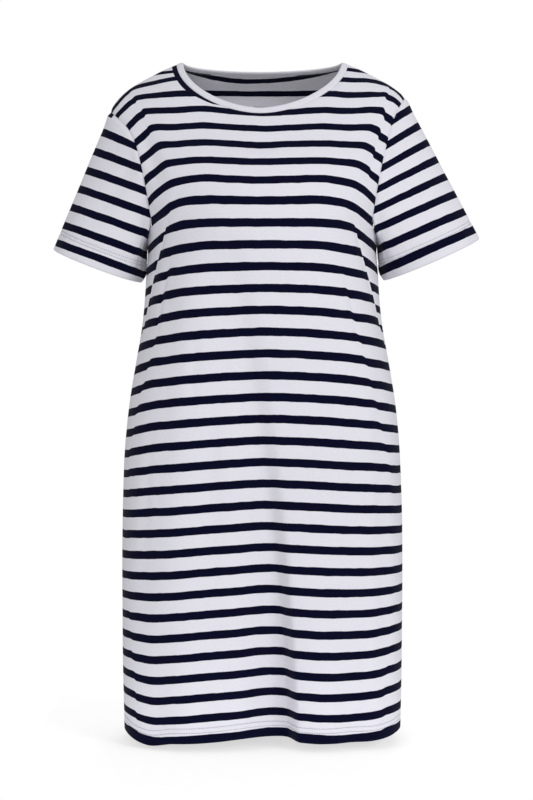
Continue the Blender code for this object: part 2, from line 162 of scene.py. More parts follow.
(FOLD_HEM_X, FOLD_BOW, FOLD_TOP_X, FOLD_TOP_LEVEL,
 FOLD_SPREAD_LOW, FOLD_SPREAD_HIGH, FOLD_DEPTH, FOLD_POWER) = range(8)
FRONT_FOLDS = (
    (0.0330, 0.0130, -0.0400, -0.2700, 0.1000, 0.0180, 0.0210, 2.4),
    (0.0240, 0.0154, -0.0500, -0.2500, 0.0550, 0.0300, 0.0125, 0.35),
    (0.0760, 0.0020, 0.0500, -0.5600, 0.0300, 0.0450, -0.0050, 0.8),
    (-0.1080, 0.0030, -0.0950, -0.5200, 0.0400, 0.0450, -0.0050, 0.8),
    (0.1250, 0.0000, 0.1150, -0.6200, 0.0300, 0.0300, 0.0060, 0.8),
)
BACK_FOLDS = (
    (-0.0620, -0.0040, -0.0450, -0.5000, 0.0600, 0.0340, 0.0220, 0.8),
    (-0.0100, 0.0000, -0.0100, -0.5400, 0.0330, 0.0400, -0.0070, 0.8),
    (0.0760, 0.0050, 0.0560, -0.4700, 0.0380, 0.0560, 0.0170, 0.8),
    (0.1350, 0.0000, 0.1200, -0.6400, 0.0300, 0.0300, 0.0060, 0.8),
)

# ---------------------------------------------------------------- sizes of the fine cloth

SHOULDER_COLUMNS = 26
NECK_COLUMNS = 108
SHOULDER_SHARE = 0.17
NECK_FAN = 0.1400           # the columns fan out from the steep ends of the neckline
FAN_BACKWARD = 0.9
FOLD_COLUMN = 0.590
FOLD_PULL = 0.040
FOLD_REACH = 0.09
EDGE_CROWDING = 1.20        # columns and rows crowd towards the seams by this power
YOKE_ROWS = 74
YOKE_CROWDING = 1.15
SKIRT_ROWS = 168
HEM_ROWS = 26
HEM_BAND = 0.0300           # the rows are fine over this height above the hem
SLEEVE_COLUMNS = 176
SLEEVE_ROWS = 46
CUFF_ROWS = 22
CUFF_BAND = 0.0260
BINDING_ROWS = 11
BINDING_COLUMNS = 440
FINE = 200
MEAN_DEPTH = 0.1200         # the knit is laid out round the body with this depth
KNIT_RADIUS = 0.1550        # and this mean radius
CORNER_FADE = 0.0120        # the dips of two seams fade out this near the corner between them
QUIET_REACH = 0.0200        # the slack and the sleeves' creases grow over this far from a seam
TURN_UP_FADE = 0.0040
BODY_SLACK = 0.00030
SLEEVE_SLACK = 0.00022

# Lines along which the cloth turns in: depth and width
SIDE_SEAM = (0.0009, 0.0030)
TOP_SEAM = (0.0008, 0.0022)
ARMHOLE_SEAM = (0.0010, 0.0028)
NECK_GROOVE = (0.0004, 0.0012)
HEM_GROOVE = (0.0013, 0.0011)
CUFF_GROOVE = (0.0012, 0.0011)

# Small gathers: depth, then pitch, drift, length and start of the drift
HEM_PUCKERS = (0.00022, 0.0105, 2.0, 0.041, 0.6)
CUFF_PUCKERS = (0.00020, 0.0100, 2.2, 0.037, 0.0)
BINDING_PUCKERS = (0.00010, 0.0085, 1.8, 0.033, 0.0)
HEM_PUCKER_BAND = (0.0075, 0.0165)      # spread and height above the edge
CUFF_PUCKER_BAND = (0.0065, 0.0250)

# Rows of stitches: height above the edge, and pitch and length of a stitch
HEM_STITCHES = ((0.0134, 0.0033, 0.0027), (0.0196, 0.0033, 0.0027))
CUFF_STITCHES = ((0.0235, 0.0032, 0.0026), (0.0280, 0.0032, 0.0026))
COVER_STITCHES = (0.0016, 0.0034, 0.0028)
NECK_STITCH = 0.0042
THREAD_RADIUS = 0.00028
STITCH_SIDES = 6
# Along a stitch: place in its length, thickness and lift in radii of the thread
STITCH_PROFILE = (
    (-0.5, 0.35, -0.5),
    (-0.3, 0.95, 0.25),
    (0.0, 1.0, 0.55),
    (0.3, 0.95, 0.25),
    (0.5, 0.35, -0.5),
)

# ---------------------------------------------------------------- stripes

NAVY_HALF = 0.196           # half a navy band, in stripe periods
LAST_NUMBER = 30.15         # the last navy band runs off the hem

# Level of each stripe at the centre front, counted down from the neckline
STRIPE_NUMBER, STRIPE_LEVEL = 0, 1
STRIPE_LEVELS = (
    (-5.0, 0.0052),
    (-4.0, -0.0068),
    (-3.0, -0.0228),
    (-2.0, -0.0408),
    (-1.0, -0.0603),
    (0.0, -0.0820),
    (1.0, -0.1050),
    (2.0, -0.1290),
    (3.0, -0.1537),
    (4.0, -0.1795),
    (6.0, -0.2366),
    (8.0, -0.2938),
    (12.0, -0.4088),
    (16.0, -0.5243),
    (20.0, -0.6392),
    (24.0, -0.7527),
    (28.0, -0.8645),
    (30.0, -0.9191),
    (31.0, -0.9458),
)

# How far a stripe lies below its level at the centre front, in millimetres, at a few
# distances to the wearer's right (minus) and left (plus)
DIP_REACHES = (-0.180, -0.150, -0.120, -0.080, -0.040, 0.0, 0.040, 0.080, 0.120, 0.150, 0.180)
DIP_LEVELS = (-0.022, -0.040, -0.0595, -0.0812, -0.1042, -0.1282, -0.1529, -0.1787, -0.2070,
              -0.2358, -0.2644, -0.310, -0.350, -0.408, -0.466, -0.524, -0.610, -0.695, -0.780,
              -0.864, -0.918)
STRIPE_DIPS = (
    (-8, -8, -8, -10, -4, 0, -4, -13, -12, -10, -10),
    (-5, -10.5, -15.7, -16, -6, 0, -5.5, -14.5, -13.2, -14, -7),
    (-9, -9, -9.8, -9, -3.4, 0, -3.3, -9.5, -8.6, -11, -13.5),
    (-8, -7.6, -6.8, -8, -3, 0, -2.5, -6, -5.8, -9.3, -10.3),
    (-6.7, -6.6, -4.9, -6.1, -2.4, 0, -2.2, -4.8, -4, -6.6, -6.6),
    (-5.5, -5.5, -4, -4.8, -2, 0, -1.8, -3.2, -3.2, -4.4, -4.4),
    (-3.8, -3.8, -3.2, -4, -1.5, 0, -1.5, -2.8, -2.4, -3, -3),
    (-2, -2, -1.7, -4.6, -1.5, 0, -1.5, -3.5, -1, -2, -2),
    (-2, -2, -1.2, -2.8, -1, 0, -1, -2.5, -0.3, -2, -2),
    (6, 3, 0.3, -0.9, -0.4, 0, -0.4, -1, -0.4, 2, 5),
    (16, 11.5, 5.2, 0.5, 0.2, 0, 0, 0, 4.4, 7.5, 12),
    (20, 13, 6.0, 2.4, 0.8, 0, 0.4, 1.6, 5.4, 10, 14),
    (22, 14, 7.3, 3.5, 1.2, 0, 0.7, 2.5, 6.4, 10.9, 16),
    (24, 12.3, 8, 4.2, 1.6, 0, 0.8, 3, 6.2, 11.8, 17),
    (20.4, 11.6, 8, 4.4, 1.7, 0, 0.8, 2.7, 5.8, 9.9, 16),
    (17.8, 11.2, 8.2, 4.8, 1.9, 0, 0.8, 2.9, 5.7, 8, 12.5),
    (13.8, 10.8, 8.3, 4.9, 2, 0, 0.8, 2.8, 5.2, 6.6, 8.3),
    (11.8, 10.7, 8.5, 4.8, 2, 0, 1, 3.2, 4.7, 5.1, 4.5),
    (8.6, 11.2, 8.5, 4.6, 2, 0, 1.4, 3.8, 4.7, 3.5, -0.2),
    (4.1, 11.1, 8.1, 4.2, 1.8, 0, 1.8, 4.2, 5.4, 3, -2.5),
    (1.2, 9.9, 7.6, 4.5, 1.8, 0, 1.8, 4.1, 6.3, 3.9, -1.4),
)
DIP_MARGIN = 0.0200         # the outermost slopes run on this far past the last reaches

# A sliver of the next navy band shows below the neck seam on the wearer's right
SLIVER_X = (-0.1300, -0.1200, -0.1090, -0.0986, -0.0848, -0.0668, -0.0560)
SLIVER_WIDTH = (0.0066, 0.0074, 0.0084, 0.0076, 0.0052, 0.0032, 0.0)
SLIVER_RANGE = 0.0100       # the greatest distance from its edge that is told apart
NECK_ROWS = 26              # rows of the fine cloth that lie near the neckline

# Towards an armhole the stripes turn down, past a knee
KNEE_LEVEL, KNEE_REACH, KNEE_SLOPE, KNEE_ROUNDING = 0, 1, 2, 3
KNEES = (
    (-0.0400, 0.1845, 1.10, 0.0040),
    (-0.0595, 0.1737, 0.90, 0.0040),
    (-0.0812, 0.1630, 0.99, 0.0030),
    (-0.1042, 0.1520, 0.93, 0.0035),
    (-0.1282, 0.1438, 0.95, 0.0050),
    (-0.1529, 0.1350, 0.95, 0.0070),
    (-0.1787, 0.1285, 0.92, 0.0080),
    (-0.2070, 0.1190, 0.78, 0.0060),
    (-0.2358, 0.1220, 0.80, 0.0080),
)
KNEE_END, KNEE_FADE = -0.2620, 0.0350

# Bust darts: a seam line from the tip out to the side seam, and how far the stripes beyond
# it lie below those at the centre front, with their slope
DARTS = {
    "right": {"side": -1, "tip": (0.1221, -0.2133), "end": (0.1640, -0.3760), "bow": -0.0030},
    "left": {"side": 1, "tip": (0.1186, -0.2149), "end": (0.1640, -0.3780), "bow": -0.0012},
}
DART_LEVEL, DART_DIP, DART_SLOPE = 0, 1, 2
DART_DIPS = {
    "right": ((-0.2133, 0.0060, 0.35), (-0.2262, 0.0094, 0.40), (-0.2584, 0.0141, 0.58),
              (-0.2906, 0.0222, 0.40), (-0.3228, 0.0259, 0.35), (-0.3500, 0.0258, 0.30),
              (-0.3800, 0.0225, 0.25)),
    "left": ((-0.2149, 0.0, 0.62), (-0.2220, 0.0020, 0.62), (-0.2520, 0.0101, 0.53),
             (-0.2870, 0.0172, 0.50), (-0.3170, 0.0223, 0.28), (-0.3460, 0.0227, 0.28),
             (-0.3800, 0.0195, 0.25)),
}
DART_INNER_REACH = 0.0600   # all of both darts lies beyond this
DART_ABOVE, DART_BELOW = 0.0100, 0.0200         # stripes are told apart this far past its ends
DART_MIX_START, DART_MIX_FADE = 0.0040, 0.0200  # the outer stripes take over from the tip down

# Lines across which the stripes step down outward: the edge of each dart's intake and its
# run down to the hem, and the turned seam allowance beside each armhole
STEP_LEVEL, STEP_REACH, STEP_SIZE = 0, 1, 2
STEP_LINES = (
    {"side": -1, "softness": 0.0024, "fading": 0.0150, "rows": (
        (-0.2600, 0.1190, 0.0), (-0.2800, 0.1225, 0.0010), (-0.2971, 0.1265, 0.0024),
        (-0.3278, 0.1335, 0.0028), (-0.3572, 0.1396, 0.0028), (-0.3869, 0.1437, 0.0026),
        (-0.4340, 0.1565, 0.0024), (-0.4800, 0.1690, 0.0022), (-0.5086, 0.1737, 0.0018),
        (-0.5400, 0.1800, 0.0014), (-0.6000, 0.1805, 0.0006), (-0.6900, 0.1800, 0.0),
        (-0.7650, 0.1800, -0.0012), (-0.8200, 0.1751, -0.0018), (-0.8730, 0.1712, -0.0020),
        (-0.9000, 0.1699, -0.0020), (-0.9400, 0.1690, -0.0020))},
    {"side": 1, "softness": 0.0060, "fading": 0.0150, "rows": (
        (-0.2850, 0.1075, 0.0), (-0.3050, 0.1108, 0.0010), (-0.3248, 0.1147, 0.0022),
        (-0.3540, 0.1215, 0.0026), (-0.3834, 0.1290, 0.0024), (-0.4140, 0.1375, 0.0024),
        (-0.4430, 0.1450, 0.0022), (-0.4750, 0.1535, 0.0020), (-0.5080, 0.1605, 0.0018),
        (-0.5600, 0.1720, 0.0014), (-0.6200, 0.1780, 0.0006), (-0.6900, 0.1780, 0.0),
        (-0.7550, 0.1765, -0.0010), (-0.8100, 0.1730, -0.0014), (-0.8400, 0.1680, -0.0014),
        (-0.9400, 0.1650, -0.0014))},
    {"side": -1, "softness": 0.0030, "fading": 0.0110, "rows": (
        (-0.0300, 0.1880, 0.0010), (-0.0533, 0.1780, 0.0022), (-0.0737, 0.1640, 0.0022),
        (-0.1007, 0.1560, 0.0016), (-0.1250, 0.1490, 0.0))},
    {"side": 1, "softness": 0.0024, "fading": 0.0110, "rows": (
        (-0.0300, 0.1800, 0.0030), (-0.0473, 0.1727, 0.0036), (-0.0855, 0.1662, 0.0038),
        (-0.1253, 0.1553, 0.0034), (-0.1537, 0.1480, 0.0024), (-0.1850, 0.1420, 0.0))},
)

# Sleeve stripes: number, and the ends of its line seen from the front, outer then inner
SLEEVE_NUMBER, OUTER_X, OUTER_Z, INNER_X, INNER_Z = range(5)
SLEEVE_STRIPES = {
    "left": (
        (0.0, 0.2113, -0.0613, 0.1849, -0.0805),
        (1.0, 0.2221, -0.0857, 0.1728, -0.1185),
        (4.0, 0.2581, -0.1579, 0.1545, -0.2086),
        (7.0, 0.2962, -0.2321, 0.1645, -0.2906),
    ),
    "right": (
        (1.0, 0.2256, -0.0956, 0.1769, -0.1198),
        (4.0, 0.2570, -0.1756, 0.1541, -0.2140),
        (7.0, 0.2871, -0.2506, 0.1623, -0.2969),
    ),
}

# ---------------------------------------------------------------- camera

PHOTO_HEIGHT = 800
METRES_PER_PIXEL = 0.0014       # in the plane of the side seams
CAMERA_PLACE = Vector((0.0058, -2.4000, -0.4704))
SENSOR_HEIGHT = 36.0


def add_camera():
    lens = bpy.data.cameras.new("photo_camera")
    lens.sensor_fit = "VERTICAL"
    lens.sensor_height = SENSOR_HEIGHT
    lens.lens = SENSOR_HEIGHT * -CAMERA_PLACE.y / (METRES_PER_PIXEL * PHOTO_HEIGHT)
    lens.clip_start = 0.05
    lens.clip_end = 100.0
    camera = bpy.data.objects.new("photo_camera", lens)
    camera.location = CAMERA_PLACE
    camera.rotation_euler = (math.radians(90), 0.0, 0.0)
    bpy.context.scene.collection.objects.link(camera)
    bpy.context.scene.camera = camera


# ---------------------------------------------------------------- curves and the form

def hermite(share, span, start, end):
    """Between two knots, each given as its value and slope."""
    return ((2 * share**3 - 3 * share**2 + 1) * start[0]
            + (share**3 - 2 * share**2 + share) * span * start[1]
            + (3 * share**2 - 2 * share**3) * end[0] + (share**3 - share**2) * span * end[1])


def smooth_table(rows, key, column, at):
    """Read one column of a table at values of its key, with smooth slopes between rows."""
    table = np.array(rows, dtype=float)
    table = table[np.argsort(table[:, key])]
    known, value = table[:, key], table[:, column]
    slope = np.gradient(value, known)
    at = np.clip(at, known[0], known[-1])
    low = np.clip(np.searchsorted(known, at) - 1, 0, len(known) - 2)
    span = known[low + 1] - known[low]
    return hermite((at - known[low]) / span, span,
                   (value[low], slope[low]), (value[low + 1], slope[low + 1]))


def smooth_step(value):
    value = np.clip(value, 0, 1)
    return value * value * (3 - 2 * value)


def half_width(level):
    return smooth_table(WIDTHS, WIDTH_LEVEL, HALF_WIDTH, level)


def depth_and_roundness(level, front):
    return [np.where(front, smooth_table(DEPTHS, DEPTH_LEVEL, front_column, level),
                     smooth_table(DEPTHS, DEPTH_LEVEL, back_column, level))
            for front_column, back_column in ((FRONT_DEPTH, BACK_DEPTH),
                                              (FRONT_ROUNDNESS, BACK_ROUNDNESS))]


def form_value(points):
    """Zero on the form, negative inside it."""
    x, y, z = points[..., 0], points[..., 1], points[..., 2]
    depth, roundness = depth_and_roundness(z, y < 0)
    across = (np.abs(x) / half_width(z)) ** roundness
    through = (np.abs(y) / depth) ** roundness
    return (across + through) ** (1 / roundness) - 1


def form_gradient(points, step=1e-5):
    gradient = np.empty_like(points)
    for axis in range(3):
        shift = np.zeros(3)
        shift[axis] = step
        gradient[..., axis] = (form_value(points + shift) - form_value(points - shift)) / (2 * step)
    return gradient


def unit(vectors):
    return vectors / np.maximum(np.linalg.norm(vectors, axis=-1, keepdims=True), 1e-12)


def form_normal(points):
    return unit(form_gradient(points))


def onto_form(points):
    """Move points to the form along its normals."""
    points = np.array(points, dtype=float)
    for _ in range(6):
        gradient = form_gradient(points)
        size = np.sum(gradient**2, axis=-1, keepdims=True)
        points -= form_value(points)[..., None] * gradient / size
    return points


def at_reach(x, level, front):
    """The point of the form at this x and level, on its front or its back."""
    depth, roundness = depth_and_roundness(level, front)
    ratio = np.clip(np.abs(x) / half_width(level), 0, 1)
    y = depth * (1 - ratio**roundness) ** (1 / roundness)
    return np.stack([x, np.where(front, -y, y), level], axis=-1)


def running_length(points, axis=0):
    """Distance along a curve, or along the rows or columns of a grid, from its start."""
    steps = np.linalg.norm(np.diff(points, axis=axis), axis=-1)
    start = np.zeros_like(np.take(steps, [0], axis=axis))
    return np.concatenate([start, np.cumsum(steps, axis=axis)], axis=axis)


def between(values, along, at):
    """Points or directions of a curve at these distances along it."""
    return np.stack([np.interp(at, along, values[:, axis]) for axis in range(3)], axis=-1)


def resample(curve, fractions):
    """Points of a curve at these fractions of its length."""
    along = running_length(curve)
    return between(curve, along / along[-1], fractions)


def level_section(level, front):
    """Half of a level section, from the wearer's right side seam to the left one."""
    depth, roundness = depth_and_roundness(np.array(level), front)
    turn = np.linspace(-np.pi / 2, np.pi / 2, 4 * FINE)
    x = half_width(np.array(level)) * np.sign(turn) * np.abs(np.sin(turn)) ** (2 / roundness)
    y = depth * np.cos(turn) ** (2 / roundness)
    y = np.where(front, -1, 1) * np.maximum(y, SEAM_GAP / 2)
    return np.stack([x, y, np.full(len(turn), level)], axis=-1)


# ---------------------------------------------------------------- seam lines

def armhole(side, front, fractions):
    """Armhole seam from the shoulder tip down to the underarm point."""
    rows = ARMHOLES[side]
    reach_column = FRONT_REACH if front else BACK_REACH
    tip, bottom = rows[0][ARM_LEVEL], rows[-1][ARM_LEVEL]
    turn = np.linspace(0, np.pi, 4 * FINE)
    level = (tip + bottom) / 2 + (tip - bottom) / 2 * np.cos(turn)
    reach = smooth_table(rows, ARM_LEVEL, reach_column, level)
    reach = np.minimum(reach, half_width(level))
    reach[[0, -1]] = half_width(level[[0, -1]])
    curve = at_reach(CUFFS[side]["side"] * reach, level, front)
    curve[:, 1] = np.where(front, -1, 1) * np.maximum(np.abs(curve[:, 1]), SEAM_GAP / 2)
    return resample(curve, fractions)


def neck_edge(front):
    """Opening of the neck on one half of the form, from the wearer's right to the left."""
    turn = np.linspace(-np.pi / 2, np.pi / 2, 4 * FINE)
    drop = FRONT_NECK_DROP if front else BACK_NECK_DROP
    power = 2 / NECK_ROUNDNESS
    x = NECK_HALF_WIDTH * np.sign(turn) * np.abs(np.sin(turn)) ** power
    level = SHOULDER_LEVEL - drop * np.cos(turn) ** power
    edge = at_reach(x, level, front)
    edge[:, 0] += NECK_CENTRE * np.cos(turn)
    return edge


def neck_opening():
    """Free edge of the neck binding as one smooth loop: across the front, then the back."""
    loop = np.concatenate([neck_edge(True)[:-1], neck_edge(False)[::-1]])
    loop = resample(loop, np.linspace(0, 1, 513))[:-1]
    for _ in range(NECK_SMOOTHING):
        loop = (np.roll(loop, 1, axis=0) + 2 * loop + np.roll(loop, -1, axis=0)) / 4
    return onto_form(loop)


NECK_LOOP = neck_opening()


def neck_line(front, inset):
    """The neck opening moved down the form by an inset, between the shoulder seams."""
    loop = NECK_LOOP
    along = np.roll(loop, -1, axis=0) - np.roll(loop, 1, axis=0)
    outward = unit(np.cross(along, form_normal(loop)))
    moved = onto_form(loop + inset * outward)
    if not front:
        moved = moved[::-1]
    facing = -moved[:, 1] if front else moved[:, 1]
    moved = np.roll(moved, -np.argmin(facing), axis=0)
    facing = np.roll(facing, -np.argmin(facing))
    half = moved[facing > SEAM_GAP]
    ends = half[[0, -1]].copy()
    ends[:, 1] = -SEAM_GAP / 2 if front else SEAM_GAP / 2
    ends = onto_form(ends)
    return np.concatenate([ends[:1], half, ends[1:]])


def shoulder_line(side, front, neck_end, fractions):
    """Shoulder seam along the top of the form, from the tip to the neckline."""
    tip = ARMHOLES[side][0][ARM_LEVEL]
    level = np.linspace(tip, neck_end[2], FINE)
    y = np.full(FINE, -SEAM_GAP / 2 if front else SEAM_GAP / 2)
    curve = np.stack([CUFFS[side]["side"] * half_width(level), y, level], axis=-1)
    curve[-1] = neck_end
    return resample(curve, fractions)


# ---------------------------------------------------------------- panels

def column_fractions(level_share):
    """How far across the panel each column lies, closer together at the side edges and,
    further down, at the main fold."""
    shoulder = SHOULDER_SHARE * np.linspace(0, 1, SHOULDER_COLUMNS + 1) ** EDGE_CROWDING
    neck = np.linspace(SHOULDER_SHARE, 1 - SHOULDER_SHARE, NECK_COLUMNS + 1)
    even = np.concatenate([shoulder, neck[1:-1], 1 - shoulder[::-1]])
    toward_fold = np.tanh((FOLD_COLUMN - even) / FOLD_REACH)
    return even + level_share * FOLD_PULL * np.sin(np.pi * even) * toward_fold


def fold_offset(folds, x, level):
    """How far the drape folds push the cloth into the dress."""
    total = np.zeros_like(x)
    for fold in folds:
        run = np.clip((fold[FOLD_TOP_LEVEL] - level) / (fold[FOLD_TOP_LEVEL] - HEM_LEVEL), 0, 1)
        line = (fold[FOLD_TOP_X] + (fold[FOLD_HEM_X] - fold[FOLD_TOP_X]) * run
                + fold[FOLD_BOW] * 4 * run * (1 - run))
        spread = np.where(x < line, fold[FOLD_SPREAD_LOW], fold[FOLD_SPREAD_HIGH])
        shape = smooth_step(1 - np.abs(x - line) / spread)
        total += fold[FOLD_DEPTH] * smooth_step(run) ** fold[FOLD_POWER] * shape
    return total


def panel_top(front):
    """Upper edge of a panel: shoulder seam, neckline, shoulder seam."""
    neck = resample(neck_line(front, BINDING_WIDTH + SEAM_GAP), np.linspace(0, 1, NECK_COLUMNS + 1))
    along = np.linspace(0, 1, SHOULDER_COLUMNS + 1) ** EDGE_CROWDING
    right = shoulder_line("right", front, neck[0], along)
    left = shoulder_line("left", front, neck[-1], along)
    return np.concatenate([right[:-1], neck, left[::-1][1:]])


def panel_yoke(front):
    """Grid from the shoulders and neckline down to the underarm level."""
    top = panel_top(front)
    across = column_fractions(0.0)
    bottom = resample(level_section(UNDERARM_LEVEL, front), across)
    down = np.linspace(0, 1, FINE)
    right = armhole("right", front, down)
    left = armhole("left", front, down)
    t, v = across[None, :, None], down[:, None, None]
    patch = ((1 - v) * top[None] + v * bottom[None] + (1 - t) * right[:, None] + t * left[:, None]
             - (1 - t) * (1 - v) * top[0] - t * (1 - v) * top[-1]
             - (1 - t) * v * bottom[0] - t * v * bottom[-1])
    fan = NECK_FAN * (np.sin(2 * np.pi * t) * v * (1 - v) ** 2)[..., 0]
    patch[..., 0] -= fan
    patch[..., 1] -= (-FAN_BACKWARD if front else FAN_BACKWARD) * np.abs(fan)
    patch[1:-1, 1:-1] = onto_form(patch[1:-1, 1:-1])
    patch[0], patch[-1] = top, bottom
    wanted = np.linspace(0, 1, YOKE_ROWS + 1) ** YOKE_CROWDING
    return np.stack([resample(column, wanted) for column in patch.swapaxes(0, 1)], axis=1)


def skirt_shares():
    """Shares of the way from the underarm to the hem, fine over the turned-up hem."""
    band = 1 - HEM_BAND / (UNDERARM_LEVEL - HEM_LEVEL)
    return np.concatenate([np.linspace(0, band, SKIRT_ROWS + 1)[1:],
                           np.linspace(band, 1, HEM_ROWS + 1)[1:]])


def panel_skirt(front):
    """Grid from the underarm level down to the hem."""
    grid = []
    for share in skirt_shares():
        across = column_fractions(smooth_step(share))
        level = UNDERARM_LEVEL + (HEM_LEVEL - UNDERARM_LEVEL) * share
        row = resample(level_section(level, front), across)
        lift = smooth_table(HEM_LIFTS, LIFT_X, FRONT_LIFT if front else BACK_LIFT, row[:, 0])
        row[:, 2] += lift * share**3
        grid.append(row)
    return np.array(grid)


LEAST_SLANT, FULL_SLANT = 0.20, 0.50    # sine of the angle between its rows and columns


def grid_normals(grid, outward, closed=False):
    """Normals of a grid of points, turned the same way as the given ones, and going over into
    them where the grid is nearly folded flat."""
    down = np.gradient(grid, axis=0)
    if closed:
        across = (np.roll(grid, -1, axis=1) - np.roll(grid, 1, axis=1)) / 2
    else:
        across = np.gradient(grid, axis=1)
    square = np.cross(down, across)
    sizes = np.linalg.norm(down, axis=-1) * np.linalg.norm(across, axis=-1)
    slant = np.linalg.norm(square, axis=-1) / np.maximum(sizes, 1e-12)
    normal = unit(square)
    flip = np.sign(np.sum(normal * outward, axis=-1, keepdims=True))
    trust = smooth_step((slant - LEAST_SLANT) / (FULL_SLANT - LEAST_SLANT))[..., None]
    return unit(trust * normal * flip + (1 - trust) * outward)


# ---------------------------------------------------------------- stripes

def stripe_number(level):
    return smooth_table(STRIPE_LEVELS, STRIPE_LEVEL, STRIPE_NUMBER, level)


def stripe_dip(x, level):
    """How far the stripes of the front lie below their level at the centre front."""
    known = np.array(DIP_REACHES)
    table = np.column_stack([DIP_LEVELS, np.array(STRIPE_DIPS) / 1000])
    values = np.stack([smooth_table(table, 0, column, level) for column in range(1, len(known) + 1)],
                      axis=-1)
    slopes = np.gradient(values, known, axis=-1)

    def knot(index):
        return [np.take_along_axis(array, index[..., None], axis=-1)[..., 0]
                for array in (values, slopes)]

    x = np.clip(x, known[0] - DIP_MARGIN, known[-1] + DIP_MARGIN)
    low = np.clip(np.searchsorted(known, x) - 1, 0, len(known) - 2)
    span = known[low + 1] - known[low]
    share = np.clip((x - known[low]) / span, 0, 1)
    past = x - np.clip(x, known[0], known[-1])
    end_slope = knot(np.where(x < 0, 0, len(known) - 1))[1]
    return hermite(share, span, knot(low), knot(low + 1)) + past * end_slope


def knee_dip(x, level):
    """The extra dip past the knee beside an armhole."""
    knee = smooth_table(KNEES, KNEE_LEVEL, KNEE_REACH, level)
    slope = smooth_table(KNEES, KNEE_LEVEL, KNEE_SLOPE, level)
    rounding = smooth_table(KNEES, KNEE_LEVEL, KNEE_ROUNDING, level)
    past = np.clip((np.abs(x) - knee) / rounding, -30, 30)      # keeps the power in range
    return slope * rounding * np.log1p(np.exp(past))


def dart_line(dart, level):
    """Distance of the dart's seam line from the centre front at a level."""
    tip, end = dart["tip"], dart["end"]
    run = (level - tip[1]) / (end[1] - tip[1])
    return tip[0] + (end[0] - tip[0]) * run - dart["bow"] * 4 * run * (1 - run)


def stripe_step(x, level):
    """How much lower the stripes lie just beyond a line where they step, and higher just
    inside it."""
    total = np.zeros_like(x)
    for line in STEP_LINES:
        rows = line["rows"]
        gap = x * line["side"] - smooth_table(rows, STEP_LEVEL, STEP_REACH, level)
        step = smooth_table(rows, STEP_LEVEL, STEP_SIZE, level)
        inside = (level < rows[0][STEP_LEVEL]) & (level > rows[-1][STEP_LEVEL])
        fading = np.clip(1 - np.abs(gap) / line["fading"], 0, 1) * inside
        total += step * (smooth_step(0.5 + gap / line["softness"]) - 0.5) * fading
    return total


def front_stripes(x, level):
    """Stripe numbers inside and beyond the darts, and how far a point lies beyond a dart."""
    fade = smooth_step((level - KNEE_END) / KNEE_FADE)
    own = level.copy()
    for _ in range(14):     # closes in on each point's level at the centre front
        own = 0.4 * own + 0.6 * (level + stripe_dip(x, own) + knee_dip(x, own) * fade)
    own = own + stripe_step(x, level)
    main = stripe_number(own)
    side_number, beyond = main.copy(), np.full(x.shape, -1.0)
    for name, dart in DARTS.items():
        rows, tip, end = DART_DIPS[name], dart["tip"][1], dart["end"][1]
        reach = x * dart["side"]
        past = reach - dart_line(dart, level)
        side_dip = (smooth_table(rows, DART_LEVEL, DART_DIP, level)
                    + smooth_table(rows, DART_LEVEL, DART_SLOPE, level) * past)
        share = smooth_step((tip + DART_MIX_START - level) / DART_MIX_FADE)
        here = ((reach > DART_INNER_REACH) & (level < tip + DART_ABOVE)
                & (level > end - DART_BELOW))
        mixed = stripe_number((1 - share) * own + share * (level + side_dip))
        side_number = np.where(here, mixed, side_number)
        beyond = np.where(here, np.where(level < tip, past, -1.0), beyond)
    return main, side_number, beyond


# The stripes of the back: two of them with their depth below the neck, evenly spaced between
BACK_FIRST, BACK_LAST = (-3, 0.0120), (30, 0.9183)
# The topmost ones curve up along the neckline
BACK_STRIPE_MIDDLE = -0.0180
BACK_STRIPE_BEND = (1.15, 0.70)         # to the wearer's right, and to the left
BACK_STRIPE_RISE = 0.0160
BACK_RISE_LOW, BACK_RISE_HIGH = -0.0212, -0.0142
BACK_RISE_END, BACK_RISE_FADE = 0.1500, 0.0300
# Toward the armholes they bend down as the front's do at this level, but less
BACK_KNEE_LEVEL = -0.1300
BACK_KNEE_SHARE = 0.80
BACK_KNEE_STRETCH = 0.965
STRIPE_PERIOD = 0.0287
# Below the underarms they go over into the front's at the side seams
BACK_SEAM_REACH = 0.1940
BACK_SEAM_TOP = -0.2400
BACK_SEAM_START, BACK_SEAM_FADE = -0.2350, 0.0600
BACK_SEAM_POWER = 3.2


def back_numbers():
    """Stripe number at levels down the centre back, evenly spaced over the cloth."""
    level = np.linspace(0.0, HEM_LEVEL - 0.01, 6 * FINE)    # to just past the hem
    y = smooth_table(DEPTHS, DEPTH_LEVEL, BACK_DEPTH, level)
    along = np.concatenate([[0], np.cumsum(np.hypot(np.diff(level), np.diff(y)))])
    first, last = (np.interp(depth, -level, along) for _, depth in (BACK_FIRST, BACK_LAST))
    span = BACK_LAST[0] - BACK_FIRST[0]
    return level, BACK_FIRST[0] + span * (along - first) / (last - first)


